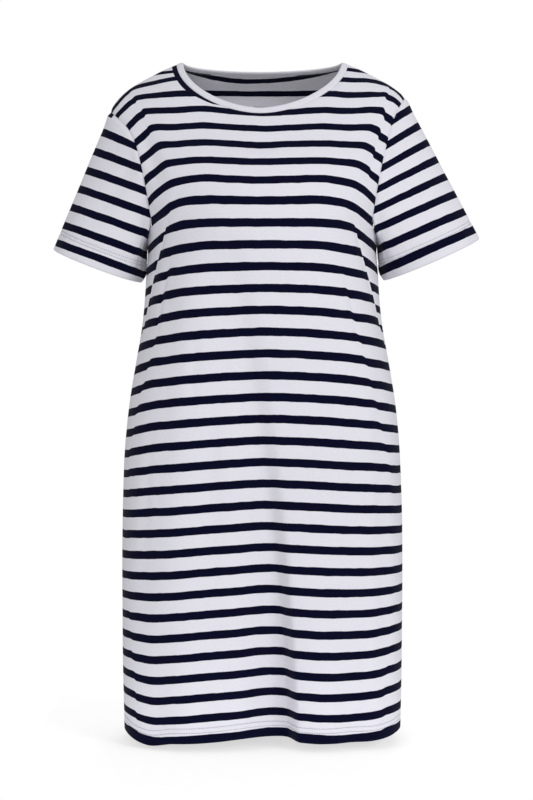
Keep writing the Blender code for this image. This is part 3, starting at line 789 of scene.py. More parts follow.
def back_stripes(x, level):
    """Stripe numbers of the back: even down its middle, and meeting the front's at the side
    seams."""
    known_level, known_number = back_numbers()
    from_middle = x - BACK_STRIPE_MIDDLE
    bend = np.where(from_middle < 0, *BACK_STRIPE_BEND)
    rise = np.minimum(bend * from_middle**2, BACK_STRIPE_RISE)
    rise *= smooth_step((BACK_RISE_END - np.abs(x)) / BACK_RISE_FADE)
    reach = BACK_RISE_HIGH + rise - BACK_RISE_LOW
    own = level - rise * np.clip((level - BACK_RISE_LOW) / reach, 0, 1)
    middle = np.interp(-own, -known_level, known_number)
    side = np.sign(x) * np.minimum(half_width(level), BACK_SEAM_REACH)
    main, side_number, beyond = front_stripes(side, level)
    seam = np.where(level < BACK_SEAM_TOP, np.where(beyond > 0, side_number, main), 0)
    low_share = smooth_step((BACK_SEAM_START - level) / BACK_SEAM_FADE)
    across = np.clip(np.abs(x) / half_width(level), 0, 1)
    blend = low_share * across**BACK_SEAM_POWER
    bent = knee_dip(x * BACK_KNEE_STRETCH, np.full_like(level, BACK_KNEE_LEVEL))
    upper_drop = BACK_KNEE_SHARE * bent * (1 - low_share) / STRIPE_PERIOD
    return middle + blend * (seam - middle) - upper_drop


# No navy inside this distance from the centre above a sleeve's first whole stripe
SLEEVE_TIP_REACH = {"left": 0.0, "right": 0.2085}
FIRST_NUMBER, LAST_SLEEVE_NUMBER = -0.5, 10.0       # sleeves are plain above number 0
SLEEVE_STRIPE_TILT = 0.35
FIRST_NAVY_TOP, SLEEVE_TIP_FADE = 0.5, 0.0030


def sleeve_stripes(side, points):
    """Stripe numbers of a sleeve: lines square to its run, closer at the underarm."""
    rows = np.array(SLEEVE_STRIPES[side])
    x = points[..., 0] * CUFFS[side]["side"]
    tilt = CUFF_BACK_LIFT / CUFF_HALF_DEPTH
    z = points[..., 2] - tilt * (points[..., 1] - CUFF_SHIFT_BACK) * SLEEVE_STRIPE_TILT
    fit = [np.polyfit(rows[:, SLEEVE_NUMBER], rows[:, column], len(rows) - 1)
           for column in (OUTER_X, OUTER_Z, INNER_X, INNER_Z)]

    def line_level(number):
        outer_x, outer_z, inner_x, inner_z = (np.polyval(part, number) for part in fit)
        return outer_z + (x - outer_x) * (inner_z - outer_z) / (inner_x - outer_x)

    low = np.full(x.shape, FIRST_NUMBER)
    high = np.full(x.shape, LAST_SLEEVE_NUMBER)
    for _ in range(30):
        middle = (low + high) / 2
        above = line_level(middle) > z
        low = np.where(above, middle, low)
        high = np.where(above, high, middle)
    return (low + high) / 2


# ---------------------------------------------------------------- creases

# Creases, listed one by one.  Each follows a curve through three points seen from the front,
# with a spread to either side, a depth (plus is a trough), and shares of its length over
# which it fades in and out
(CREASE_A, CREASE_B, CREASE_C, CREASE_LEFT, CREASE_RIGHT,
 CREASE_DEPTH, CREASE_IN, CREASE_OUT) = range(8)
FRONT_CREASES = (
    # dart seams
    ((-0.1221, -0.2133), (-0.1443, -0.2947), (-0.1625, -0.3760), 0.0050, 0.0050, 0.0016, 0.2, 0.05),
    ((0.1186, -0.2149), (0.1406, -0.2965), (0.1625, -0.3780), 0.0050, 0.0050, 0.0016, 0.2, 0.05),
    # dimples and soft lines that run on from the dart tips
    ((-0.1230, -0.2230), (-0.1130, -0.1960), (-0.1010, -0.1780), 0.0090, 0.0070, 0.0014, 0.2, 0.8),
    ((0.1200, -0.2240), (0.1110, -0.1990), (0.1000, -0.1820), 0.0090, 0.0070, 0.0014, 0.2, 0.8),
    # edge of the dart's intake, pressed down inside
    ((-0.1215, -0.2760), (-0.1345, -0.3330), (-0.1450, -0.4000), 0.0060, 0.0040, 0.0017, 0.3, 0.4),
    ((0.1090, -0.2960), (0.1215, -0.3540), (0.1290, -0.4020), 0.0040, 0.0060, 0.0016, 0.3, 0.4),
    # hollows beside the armholes
    ((-0.1720, -0.0880), (-0.1500, -0.1450), (-0.1330, -0.2050), 0.0150, 0.0200, 0.0032, 0.3, 0.4),
    ((0.1700, -0.0820), (0.1530, -0.1380), (0.1400, -0.2020), 0.0170, 0.0130, 0.0022, 0.3, 0.4),
    # soft lines from the underarms
    ((-0.1560, -0.2360), (-0.1340, -0.2170), (-0.1050, -0.2230), 0.0070, 0.0090, 0.0016, 0.3, 0.7),
    ((0.1560, -0.2420), (0.1360, -0.2260), (0.1080, -0.2330), 0.0070, 0.0090, 0.0013, 0.3, 0.7),
    # long soft ridges down the sides of the skirt
    ((-0.1000, -0.2500), (-0.1060, -0.4800), (-0.1490, -0.9000), 0.0300, 0.0450, -0.0030, 0.3, 0.2),
    ((-0.1420, -0.4300), (-0.1560, -0.6100), (-0.1620, -0.8200), 0.0130, 0.0110, 0.0016, 0.5, 0.5),
    ((0.1520, -0.4200), (0.1620, -0.6000), (0.1680, -0.9200), 0.0150, 0.0140, 0.0020, 0.5, 0.2),
    ((0.1250, -0.3900), (0.1180, -0.5400), (0.1010, -0.6900), 0.0220, 0.0260, 0.0016, 0.5, 0.5),
    ((-0.0600, -0.3600), (-0.0640, -0.5600), (-0.0780, -0.7900), 0.0260, 0.0240, 0.0016, 0.5, 0.5),
    ((-0.0860, -0.3300), (-0.0900, -0.4300), (-0.0960, -0.5400), 0.0110, 0.0120, 0.0012, 0.5, 0.5),
    ((0.0620, -0.2900), (0.0700, -0.4200), (0.0740, -0.5600), 0.0260, 0.0240, 0.0014, 0.5, 0.5),
    # shallow slack under the neckline
    ((-0.0700, -0.1150), (-0.0100, -0.1320), (0.0600, -0.1180), 0.0120, 0.0160, 0.0012, 0.5, 0.5),
)
BACK_CREASES = (
    ((-0.1700, -0.0950), (-0.1520, -0.1500), (-0.1380, -0.2100), 0.0160, 0.0190, 0.0030, 0.3, 0.4),
    ((0.1720, -0.0860), (0.1560, -0.1430), (0.1430, -0.2060), 0.0180, 0.0150, 0.0026, 0.3, 0.4),
    ((-0.1100, -0.0500), (-0.0950, -0.1100), (-0.1020, -0.1900), 0.0200, 0.0220, 0.0018, 0.5, 0.5),
    ((0.1150, -0.0480), (0.1010, -0.1150), (0.1060, -0.1850), 0.0220, 0.0190, 0.0017, 0.5, 0.5),
    ((-0.1250, -0.2700), (-0.0700, -0.3150), (-0.0080, -0.3050), 0.0110, 0.0160, 0.0028, 0.4, 0.6),
    ((0.1300, -0.2900), (0.0820, -0.3330), (0.0250, -0.3350), 0.0120, 0.0170, 0.0024, 0.4, 0.6),
    ((-0.1150, -0.3300), (-0.0600, -0.3650), (0.0050, -0.3580), 0.0100, 0.0150, 0.0020, 0.4, 0.6),
    ((-0.1380, -0.4300), (-0.1500, -0.6200), (-0.1560, -0.8900), 0.0150, 0.0140, 0.0022, 0.5, 0.2),
    ((0.1480, -0.3900), (0.1580, -0.6000), (0.1650, -0.9200), 0.0150, 0.0160, 0.0022, 0.5, 0.2),
    ((0.0050, -0.3800), (0.0150, -0.5600), (0.0300, -0.9300), 0.0200, 0.0260, 0.0030, 0.5, 0.1),
    ((-0.0950, -0.4200), (-0.1080, -0.6200), (-0.1180, -0.9300), 0.0220, 0.0180, 0.0030, 0.5, 0.1),
    ((0.1000, -0.3700), (0.1080, -0.5300), (0.1120, -0.7400), 0.0220, 0.0190, 0.0018, 0.5, 0.5),
)


def bezier(a, b, c):
    """A smooth curve that starts at a, passes b and ends at c."""
    a, b, c = np.array(a), np.array(b), np.array(c)
    control = 2 * b - (a + c) / 2
    t = np.linspace(0, 1, 60)[:, None]
    return (1 - t) ** 2 * a + 2 * t * (1 - t) * control + t**2 * c


def crease_offset(creases, x, level):
    """How far the creases push the cloth in."""
    total = np.zeros_like(x)
    for crease in creases:
        curve = bezier(crease[CREASE_A], crease[CREASE_B], crease[CREASE_C])
        spread = max(crease[CREASE_LEFT], crease[CREASE_RIGHT])
        near = ((x > curve[:, 0].min() - spread) & (x < curve[:, 0].max() + spread)
                & (level > curve[:, 1].min() - spread) & (level < curve[:, 1].max() + spread))
        px, pz = x[near], level[near]
        gap_x = px[:, None] - curve[None, :, 0]
        gap_z = pz[:, None] - curve[None, :, 1]
        nearest = np.argmin(gap_x**2 + gap_z**2, axis=1)
        pick = np.arange(len(px))
        along = np.gradient(curve, axis=0)[nearest]
        across = gap_x[pick, nearest] * along[:, 1] - gap_z[pick, nearest] * along[:, 0]
        across /= np.linalg.norm(along, axis=1)
        distance = np.hypot(gap_x[pick, nearest], gap_z[pick, nearest])
        width = np.where(across < 0, crease[CREASE_RIGHT], crease[CREASE_LEFT])
        shape = smooth_step(1 - distance / width)
        t = nearest / (len(curve) - 1)
        fade = smooth_step(t / crease[CREASE_IN]) * smooth_step((1 - t) / crease[CREASE_OUT])
        total[near] += crease[CREASE_DEPTH] * fade * shape
    return total


def slack(points, amount, seed):
    """Slow uneven ripples of the cloth, the sum of a few waves of different lengths."""
    draw = np.random.default_rng(seed)
    total = np.zeros(points.shape[:-1])
    for _ in range(9):
        direction = draw.normal(size=3) * np.array([1.0, 1.0, 0.45])    # mostly level
        direction /= np.linalg.norm(direction)
        length = draw.uniform(0.035, 0.110)
        phase = draw.uniform(0, 2 * np.pi)
        total += np.sin(2 * np.pi * (points @ direction) / length + phase) * length
    return amount * total / 0.22        # 0.22 is about the spread of the sum


def dip(distance, depth, width, place=0.0):
    """The cloth turns in along a line at this distance."""
    return depth * np.exp(-(((distance - place) / width) ** 2))


def puckers(along, depth, pitch, drift, length, start):
    """Uneven small gathers along a row of stitches."""
    return depth * np.sin(along / pitch * 2 * np.pi + drift * np.sin(along / length + start))


def turned_up_wall(above_edge, turn_up):
    """The wall, doubled where the edge is turned up."""
    doubled = smooth_step((turn_up + TURN_UP_FADE - above_edge) / TURN_UP_FADE)
    return WALL + (TURN_UP_WALL - WALL) * doubled


def neck_distance(grid, front):
    """Distance to the panel's neckline, for the rows near it."""
    edge = neck_line(front, BINDING_WIDTH)
    away = np.ones(grid.shape[:-1])
    upper = grid[:NECK_ROWS]
    away[:NECK_ROWS] = np.linalg.norm(upper[:, :, None] - edge[None, None], axis=-1).min(axis=2)
    return away


def panel(front):
    """Everything about the front or the back: points, normals, wall, stripes and places."""
    grid = np.concatenate([panel_yoke(front), panel_skirt(front)])
    normal = form_normal(grid)
    folds = fold_offset(FRONT_FOLDS if front else BACK_FOLDS, grid[..., 0], grid[..., 2])
    grid = grid - folds[..., None] * normal
    normal[1:, 1:-1] = grid_normals(grid, normal)[1:, 1:-1]
    x, level = grid[..., 0].copy(), grid[..., 2].copy()

    from_left = running_length(grid, axis=1)
    to_side = np.minimum(from_left, from_left[:, -1:] - from_left)
    from_top = running_length(grid)
    above_hem = from_top[-1:] - from_top
    to_neck = neck_distance(grid, front)
    quiet = smooth_step(to_side / QUIET_REACH)
    quiet = quiet * smooth_step(np.minimum(from_top, to_neck) / QUIET_REACH)

    offset = crease_offset(FRONT_CREASES if front else BACK_CREASES, x, level)
    offset += slack(grid, BODY_SLACK, 3 if front else 8) * quiet
    corner = np.where(x < 0, -x[0, SHOULDER_COLUMNS], x[0, -SHOULDER_COLUMNS - 1])
    share = smooth_step(np.abs(corner - np.abs(x)) / CORNER_FADE)
    neck = slice(SHOULDER_COLUMNS + 1, -SHOULDER_COLUMNS - 1)
    to_edge = from_top.copy()
    to_edge[:, neck] = to_neck[:, neck]
    offset += dip(to_side, *SIDE_SEAM) + share * dip(to_edge, *TOP_SEAM)
    offset += share * dip(to_edge, *NECK_GROOVE, NECK_STITCH)
    for place, _, _ in HEM_STITCHES:
        offset += dip(above_hem, *HEM_GROOVE, place)
    offset += puckers(from_left, *HEM_PUCKERS) * dip(above_hem, 1.0, *HEM_PUCKER_BAND)
    grid = grid - offset[..., None] * normal
    normal[1:, 1:-1] = grid_normals(grid, normal)[1:, 1:-1]

    turn = np.arctan2(x / half_width(level), np.abs(grid[..., 1]) / MEAN_DEPTH)
    shape = {"grid": grid, "normal": normal, "wall": turned_up_wall(above_hem, HEM_TURN_UP),
             "closed": False, "place": (turn * KNIT_RADIUS, level),
             "above_edge": above_hem, "from_top": from_top}
    if not front:
        return {**shape, "stripe": np.minimum(back_stripes(x, level), LAST_NUMBER)}
    main, side_number, beyond = front_stripes(x, level)
    width = np.interp(x, SLIVER_X, SLIVER_WIDTH)
    sliver = np.where(width > 0, width - to_neck, -1.0)
    sliver = np.clip(sliver, -SLIVER_RANGE, SLIVER_RANGE)
    return {**shape, "stripe": np.minimum(main, LAST_NUMBER), "beyond": beyond,
            "stripe_side": np.minimum(side_number, LAST_NUMBER), "sliver": sliver}


# ---------------------------------------------------------------- sleeves and binding

def armhole_loop(side):
    """Armhole seam all round: down the front, and up the back."""
    along = np.linspace(0, 1, SLEEVE_COLUMNS // 2 + 1)
    front = armhole(side, True, along)
    back = armhole(side, False, along)
    loop = np.concatenate([front, back[::-1][1:-1]])
    loop[[0, SLEEVE_COLUMNS // 2], 1] = 0
    return loop


def cuff_loop(side):
    """Edge of the cuff, point for point with the armhole."""
    cuff = CUFFS[side]
    outer, inner = np.array(cuff["outer"]), np.array(cuff["inner"])
    middle, arm = (outer + inner) / 2, (outer - inner) / 2
    turn = np.linspace(0, 2 * np.pi, SLEEVE_COLUMNS, endpoint=False)
    x = cuff["side"] * (middle[0] + arm[0] * np.cos(turn))
    y = CUFF_SHIFT_BACK - CUFF_HALF_DEPTH * np.sin(turn)
    z = middle[1] + arm[1] * np.cos(turn) - CUFF_BACK_LIFT * np.sin(turn)
    return np.stack([x, y, z], axis=-1)


# Creases of a sleeve: the turn round it (0 is over the shoulder, 90 degrees the front) at
# the armhole and at the cuff, spread in degrees, depth at both ends
SLEEVE_CREASES = {
    "left": (
        (128, 150, 20, 0.0045, 0.0008),
        (150, 168, 13, 0.0035, 0.0010),
        (62, 70, 20, 0.0014, 0.0004),
        (20, 28, 16, -0.0008, 0.0016),
        (232, 214, 22, 0.0048, 0.0010),
        (208, 196, 13, 0.0034, 0.0010),
        (300, 292, 24, 0.0016, 0.0020),
        (340, 330, 14, 0.0006, 0.0014),
    ),
    "right": (
        (130, 152, 20, 0.0048, 0.0010),
        (151, 166, 12, 0.0036, 0.0010),
        (70, 62, 18, 0.0018, 0.0006),
        (26, 20, 16, -0.0008, 0.0014),
        (228, 212, 24, 0.0048, 0.0008),
        (206, 194, 12, 0.0036, 0.0012),
        (292, 300, 22, 0.0014, 0.0022),
        (336, 346, 16, 0.0008, 0.0012),
    ),
}


# The underside of a sleeve lies along the body for most of its length
UNDERSIDE_SHARE = (0.0, 0.15, 0.30, 0.45, 0.60, 0.75, 0.85, 0.93, 1.0)
UNDERSIDE_FILL = (0.0, 0.0006, 0.0018, 0.0031, 0.0043, 0.0051, 0.0042, 0.0023, 0.0)
UNDERSIDE_POWER = 6
SLEEVE_CROWDING = 1.25
SLEEVE_HEAD = (0.0014, 0.0300, 0.0060)  # rise of the head, its length and where it starts
BINDING_CROWN = 1.6                     # rise of its middle, in rises of the frame's binding


def sleeve(side):
    """Everything about a sleeve, row by row from the armhole to the cuff."""
    seam, cuff = armhole_loop(side), cuff_loop(side)
    turn = np.linspace(0, 2 * np.pi, SLEEVE_COLUMNS, endpoint=False)
    under = (0.5 - 0.5 * np.cos(turn))[:, None]     # 1 beneath the arm, 0 over the shoulder
    surface = form_normal(seam)
    away = unit(np.cross(surface, np.roll(seam, -1, axis=0) - np.roll(seam, 1, axis=0)))
    if away[0, 0] * CUFFS[side]["side"] < 0:
        away = -away
    start = seam + SEAM_GAP * (away + surface * under)
    length = np.linalg.norm(cuff - start, axis=1)
    band = 1 - CUFF_BAND / length.mean()
    share = np.concatenate([band * np.linspace(0, 1, SLEEVE_ROWS + 1) ** SLEEVE_CROWDING,
                            np.linspace(band, 1, CUFF_ROWS + 1)[1:]])[:, None]
    grid = start[None] + share[..., None] * (cuff - start)[None]
    beneath = under.T ** UNDERSIDE_POWER
    grid[..., 0] -= CUFFS[side]["side"] * np.interp(share, UNDERSIDE_SHARE, UNDERSIDE_FILL) * beneath
    normal = grid_normals(grid, grid - grid.mean(axis=1, keepdims=True), closed=True)
    normal[0] = unit(under**2 * normal[0] + (1 - under**2) * surface)

    stripe = sleeve_stripes(side, grid)
    tip = smooth_step((SLEEVE_TIP_REACH[side] - np.abs(grid[..., 0])) / SLEEVE_TIP_FADE)
    stripe = np.where(stripe < FIRST_NAVY_TOP, stripe + (FIRST_NAVY_TOP - stripe) * tip, stripe)
    from_seam, above_cuff = share * length[None], (1 - share) * length[None]
    begun = smooth_step(from_seam / QUIET_REACH)
    offset = np.zeros(grid.shape[:2])
    for turn_top, turn_cuff, spread, depth_top, depth_cuff in SLEEVE_CREASES[side]:
        line = turn_top + (turn_cuff - turn_top) * share
        gap = np.abs((np.degrees(turn)[None] - line + 180) % 360 - 180)
        depth = depth_top + (depth_cuff - depth_top) * share
        offset += depth * begun * smooth_step(1 - gap / spread)
    offset += slack(grid, SLEEVE_SLACK, 21 if side == "left" else 22) * begun
    rise, reach, first = SLEEVE_HEAD
    head = smooth_step(1 - from_seam / reach) * (0.5 + 0.5 * np.cos(turn))[None] ** 2
    offset -= rise * head * smooth_step(from_seam / first)
    offset += dip(from_seam, *ARMHOLE_SEAM)
    for place, _, _ in CUFF_STITCHES:
        offset += dip(above_cuff, *CUFF_GROOVE, place)
    round_cuff = np.cumsum(np.linalg.norm(np.diff(cuff, axis=0, prepend=cuff[-1:]), axis=1))[None]
    offset += puckers(round_cuff, *CUFF_PUCKERS) * dip(above_cuff, 1.0, *CUFF_PUCKER_BAND)
    grid = grid - offset[..., None] * normal
    normal[1:] = grid_normals(grid, normal, closed=True)[1:]
    return {"grid": grid, "normal": normal, "wall": turned_up_wall(above_cuff, CUFF_TURN_UP),
            "closed": True, "stripe": stripe, "place": (round_cuff, -from_seam),
            "above_edge": above_cuff}


def neck_loop(inset):
    """A closed line round the neck, this far below the binding's free edge."""
    share = np.linspace(0, 1, BINDING_COLUMNS // 2 + 1)
    front = resample(neck_line(True, inset), share)
    back = resample(neck_line(False, inset), share)
    front[[0, -1], 1] = 0
    return np.concatenate([front, back[::-1][1:-1]])


def binding():
    """Everything about the neck binding: a rounded band, gathered a little by its stitches."""
    share = np.linspace(0, 1, BINDING_ROWS)[:, None]
    grid = np.array([neck_loop(inset) for inset in BINDING_WIDTH * share[:, 0]])
    normal = form_normal(grid)
    crown = np.sqrt(np.clip(1 - (2 * share - 1) ** 4, 0, 1))
    steps = np.linalg.norm(np.diff(grid[-1], axis=0, prepend=grid[-1][-1:]), axis=1)
    along = np.cumsum(steps)[None]
    rise = BINDING_RISE * crown * BINDING_CROWN
    rise = rise + puckers(along, *BINDING_PUCKERS) * np.sin(np.pi * share)
    grid = grid + rise[..., None] * normal
    wall = BINDING_WALL + 2 * rise - BINDING_CROWN * BINDING_RISE
    return {"grid": grid, "normal": normal, "wall": np.maximum(wall, WALL), "closed": True,
            "stripe": 0.0, "place": (along, -BINDING_WIDTH * share)}


# ---------------------------------------------------------------- meshes

RIM_ROUNDING = 0.42         # how far a rim stands out, in walls
# What the cloth tells its material, with the value where a piece doesn't say
ATTRIBUTES = {"stripe": 0.0, "stripe_side": 0.0, "beyond": -1.0, "sliver": -1.0}


def rim(shape, row):
    """A rounded rim between the outer and inner skins at the first or last row."""
    grid, normal, wall = shape["grid"], shape["normal"], shape["wall"]
    beside = 1 if row == 0 else len(grid) - 2
    out = unit(grid[row] - grid[beside])
    return grid[row] - wall[row][:, None] / 2 * normal[row] + wall[row][:, None] * RIM_ROUNDING * out


def quads(*corners):
    return np.stack([np.ravel(corner) for corner in corners], axis=1)


def add_object(name, mesh):
    made = bpy.data.objects.new(name, mesh)
    bpy.context.scene.collection.objects.link(made)
    return made


def cloth(name, shape, finish):
    """A thin closed wall of cloth from its outer points, with its attributes."""
    grid, normal, wall = shape["grid"], shape["normal"], shape["wall"]
    rows, columns = grid.shape[:2]
    inner = grid - wall[..., None] * normal
    points = np.concatenate([grid.reshape(-1, 3), inner.reshape(-1, 3),
                             rim(shape, 0), rim(shape, rows - 1)])
    count = rows * columns
    outside = np.arange(count).reshape(rows, columns)
    rims = 2 * count + np.arange(2 * columns).reshape(2, columns)
    if shape["closed"]:
        outside, rims = (np.concatenate([index, index[:, :1]], axis=1) for index in (outside, rims))
    inside = outside + count

    def strip(upper, lower):
        return quads(upper[..., :-1], lower[..., :-1], lower[..., 1:], upper[..., 1:])

    def strip_back(upper, lower):
        return quads(upper[..., :-1], upper[..., 1:], lower[..., 1:], lower[..., :-1])

    faces = [strip(outside[:-1], outside[1:]), strip_back(inside[:-1], inside[1:]),
             strip_back(outside[0], rims[0]), strip_back(rims[0], inside[0]),
             quads(outside[-1, 1:], outside[-1, :-1], rims[1, :-1], rims[1, 1:]),
             quads(rims[1, 1:], rims[1, :-1], inside[-1, :-1], inside[-1, 1:])]
    corners = []
    if not shape["closed"]:
        right, left, right_in, left_in = (index[:, column] for index in (outside, inside)
                                          for column in (0, -1))
        faces.append(quads(right[:-1], right_in[:-1], right_in[1:], right[1:]))
        faces.append(quads(left[1:], left_in[1:], left_in[:-1], left[:-1]))
        corners = [[int(rims[end, column]), int(outside[end, column]), int(inside[end, column])]
                   for end in (0, -1) for column in (0, -1)]
    mesh = bpy.data.meshes.new(name)
    mesh.from_pydata(points.tolist(), [], np.concatenate(faces).tolist() + corners)

    def add_attribute(key, kind, part, values):
        attribute = mesh.attributes.new(key, kind, "POINT")
        attribute.data.foreach_set(part, np.ravel(values).astype(np.float32))

    def on_all_points(values):
        values = values.reshape(count, -1)
        return np.concatenate([values, values, values[:columns], values[-columns:]])

    for key, missing in ATTRIBUTES.items():
        values = np.broadcast_to(shape.get(key, missing), (rows, columns))
        add_attribute(key, "FLOAT", "value", on_all_points(values))
    place = [np.broadcast_to(part, (rows, columns)) for part in (*shape["place"], 0.0)]
    add_attribute("place", "FLOAT_VECTOR", "vector", on_all_points(np.stack(place, axis=-1)))
    add_attribute("inside", "FLOAT", "value", np.repeat([0.0, 1.0, 0.5], [count, count, 2 * columns]))

    work = bmesh.new()
    work.from_mesh(mesh)
    bmesh.ops.recalc_face_normals(work, faces=work.faces)
    work.to_mesh(mesh)
    work.free()
    mesh.materials.append(finish)
    mesh.shade_smooth()
    return add_object(name, mesh)


# ---------------------------------------------------------------- stitches

def stitch_faces():
    """Faces of one stitch: its rings joined up, and its two ends."""
    ring, rings = np.arange(STITCH_SIDES), len(STITCH_PROFILE)
    sides = [(a, b, b + STITCH_SIDES, a + STITCH_SIDES)
             for level in STITCH_SIDES * np.arange(rings - 1)
             for a, b in zip(level + ring, level + np.roll(ring, -1))]
    return sides + [tuple(ring[::-1]), tuple(ring + (rings - 1) * STITCH_SIDES)]


def stitch_mesh(name, lines, finish):
    """Many short stitches as one mesh.  A line is (points, normals, pitch, length)."""
    turn = np.linspace(0, 2 * np.pi, STITCH_SIDES, endpoint=False)[:, None]
    one, points, faces = stitch_faces(), [], []
    for line, normals, pitch, length in lines:
        along = running_length(line)
        for where in np.arange(pitch / 2, along[-1] - pitch / 2, pitch):
            behind, centre, ahead = between(line, along, where + np.array([-0.5, 0, 0.5]) * length)
            tangent = unit(ahead - behind)
            side = unit(np.cross(between(normals, along, where), tangent))
            up = np.cross(tangent, side)
            circle = np.cos(turn) * side + np.sin(turn) * up
            first = len(points) * len(STITCH_PROFILE) * STITCH_SIDES
            points.append([centre + shift * length * tangent + lift * THREAD_RADIUS * up
                           + THREAD_RADIUS * size * circle for shift, size, lift in STITCH_PROFILE])
            faces += [[first + int(index) for index in face] for face in one]
    mesh = bpy.data.meshes.new(name)
    mesh.from_pydata(np.array(points).reshape(-1, 3).tolist(), [], faces)
    mesh.materials.append(finish)
    mesh.shade_smooth()
    return add_object(name, mesh)


def row_at(shape, key, value):
    """The line on the cloth where an attribute such as the height above the hem has a value."""
    line = []
    for column in range(shape["grid"].shape[1]):
        order = np.argsort(shape[key][:, column])
        known = shape[key][order, column]
        line.append([between(shape[part][order, column], known, value)
                     for part in ("grid", "normal")])
    if shape["closed"]:
        line.append(line[0])
    points, normals = np.moveaxis(np.array(line), 1, 0)
    return points, unit(normals)


# ---------------------------------------------------------------- materials

def node(tree, kind, inputs, **settings):
    """A new node.  An input is a fixed value, or an output of another node."""
    made = tree.nodes.new("ShaderNode" + kind)
    for key, value in settings.items():
        setattr(made, key, value)
    for key, value in inputs.items():
        if isinstance(value, bpy.types.NodeSocket):
            tree.links.new(value, made.inputs[key])
        else:
            made.inputs[key].default_value = value
    return made


def calculate(tree, operation, *values):
    return node(tree, "Math", dict(enumerate(values)), operation=operation).outputs[0]


def attribute(tree, name, output="Fac"):
    return node(tree, "Attribute", {}, attribute_name=name).outputs[output]


def noise(tree, place, scale, detail=2.0):
    inputs = {"Vector": place, "Scale": scale, "Detail": detail}
    return node(tree, "TexNoise", inputs).outputs["Fac"]


def mottled(tree, place, low_and_high, scale=(260.0, 260.0, 900.0)):
    """A factor that varies a little from yarn to yarn, in short level streaks."""
    low, high = low_and_high
    stretched = node(tree, "Mapping", {"Scale": scale, "Vector": place}).outputs[0]
    spread = {"Value": noise(tree, stretched, 1.0), "From Min": 0.25, "From Max": 0.75,
              "To Min": low, "To Max": high}
    return node(tree, "MapRange", spread).outputs[0]


def scaled_colour(tree, colour, factor):
    """A fixed colour times a factor."""
    return node(tree, "VectorMath", {0: colour, "Scale": factor}, operation="SCALE").outputs[0]


def new_material(name, settings):
    """A material with its shader set, its node tree, and the object's own coordinates."""
    made = bpy.data.materials.new(name)
    made.use_nodes = True
    tree = made.node_tree
    shader = tree.nodes["Principled BSDF"]
    for key, value in settings.items():
        shader.inputs[key].default_value = value
    return made, tree, shader, node(tree, "TexCoord", {}).outputs["Object"]


NAVY = (0.0017, 0.0022, 0.0146)
WHITE = (0.722, 0.715, 0.778)
# Stitch colour: the thread's own colour, darkened further as painted shade of the needle holes and
# grooves along the stitch lines
THREAD_AND_PAINTED_SHADE = (0.15, 0.16, 0.21)
FLOOR = (0.55, 0.55, 0.55)
INSIDE_PAINTED_LIGHT = 0.20         # painted light: the inside of the jersey is painted this share lighter, standing in for light that comes through the thin cloth
WHITE_SPREAD, NAVY_SPREAD, PLAIN_SPREAD = (0.965, 1.03), (0.75, 1.35), (0.97, 1.03)
THREAD_SPREAD, FLOOR_SPREAD = (0.9, 1.05), (0.998, 1.002)
WALE, COURSE, COURSE_SHARE = 0.00095, 0.00075, 0.3
YARN_SCALE, YARN_DETAIL, YARN_SHARE = 420.0, 3.0, 0.9
KNIT_STRENGTH, KNIT_DEPTH = 0.35, 0.0003
EDGE_BLUR = 0.010           # of the stripes, in stripe periods
STRIPE_NOISES = ((55.0, 0.06), (900.0, 0.010))      # scale, and share of a stripe period
STRIPE_SHIFT = 0.465        # half a period, less the mean of these
JERSEY = {"Roughness": 0.88, "Specular IOR Level": 0.05, "Sheen Weight": 0.03,
          "Sheen Roughness": 0.45}
THREAD_FINISH = {"Roughness": 0.6}


def knitted(name):
    """A jersey material: fine knit of wales and courses, with uneven yarn."""
    made, tree, shader, place = new_material(name, JERSEY)
    knit = node(tree, "SeparateXYZ", {0: attribute(tree, "place", "Vector")}).outputs
    wale, course = (
        calculate(tree, "SINE", calculate(tree, "MULTIPLY", part, 2 * math.pi / pitch))
        for part, pitch in ((knit[0], WALE), (knit[1], COURSE)))
    loops = calculate(tree, "MULTIPLY", calculate(tree, "ABSOLUTE", wale),
                      calculate(tree, "MULTIPLY_ADD", course, COURSE_SHARE, 1 - COURSE_SHARE))
    yarn = noise(tree, place, YARN_SCALE, YARN_DETAIL)
    height = calculate(tree, "MULTIPLY_ADD", yarn, YARN_SHARE, loops)
    bump = node(tree, "Bump", {"Strength": KNIT_STRENGTH, "Distance": KNIT_DEPTH, "Height": height})
    tree.links.new(bump.outputs["Normal"], shader.inputs["Normal"])
    return made, tree, shader, place


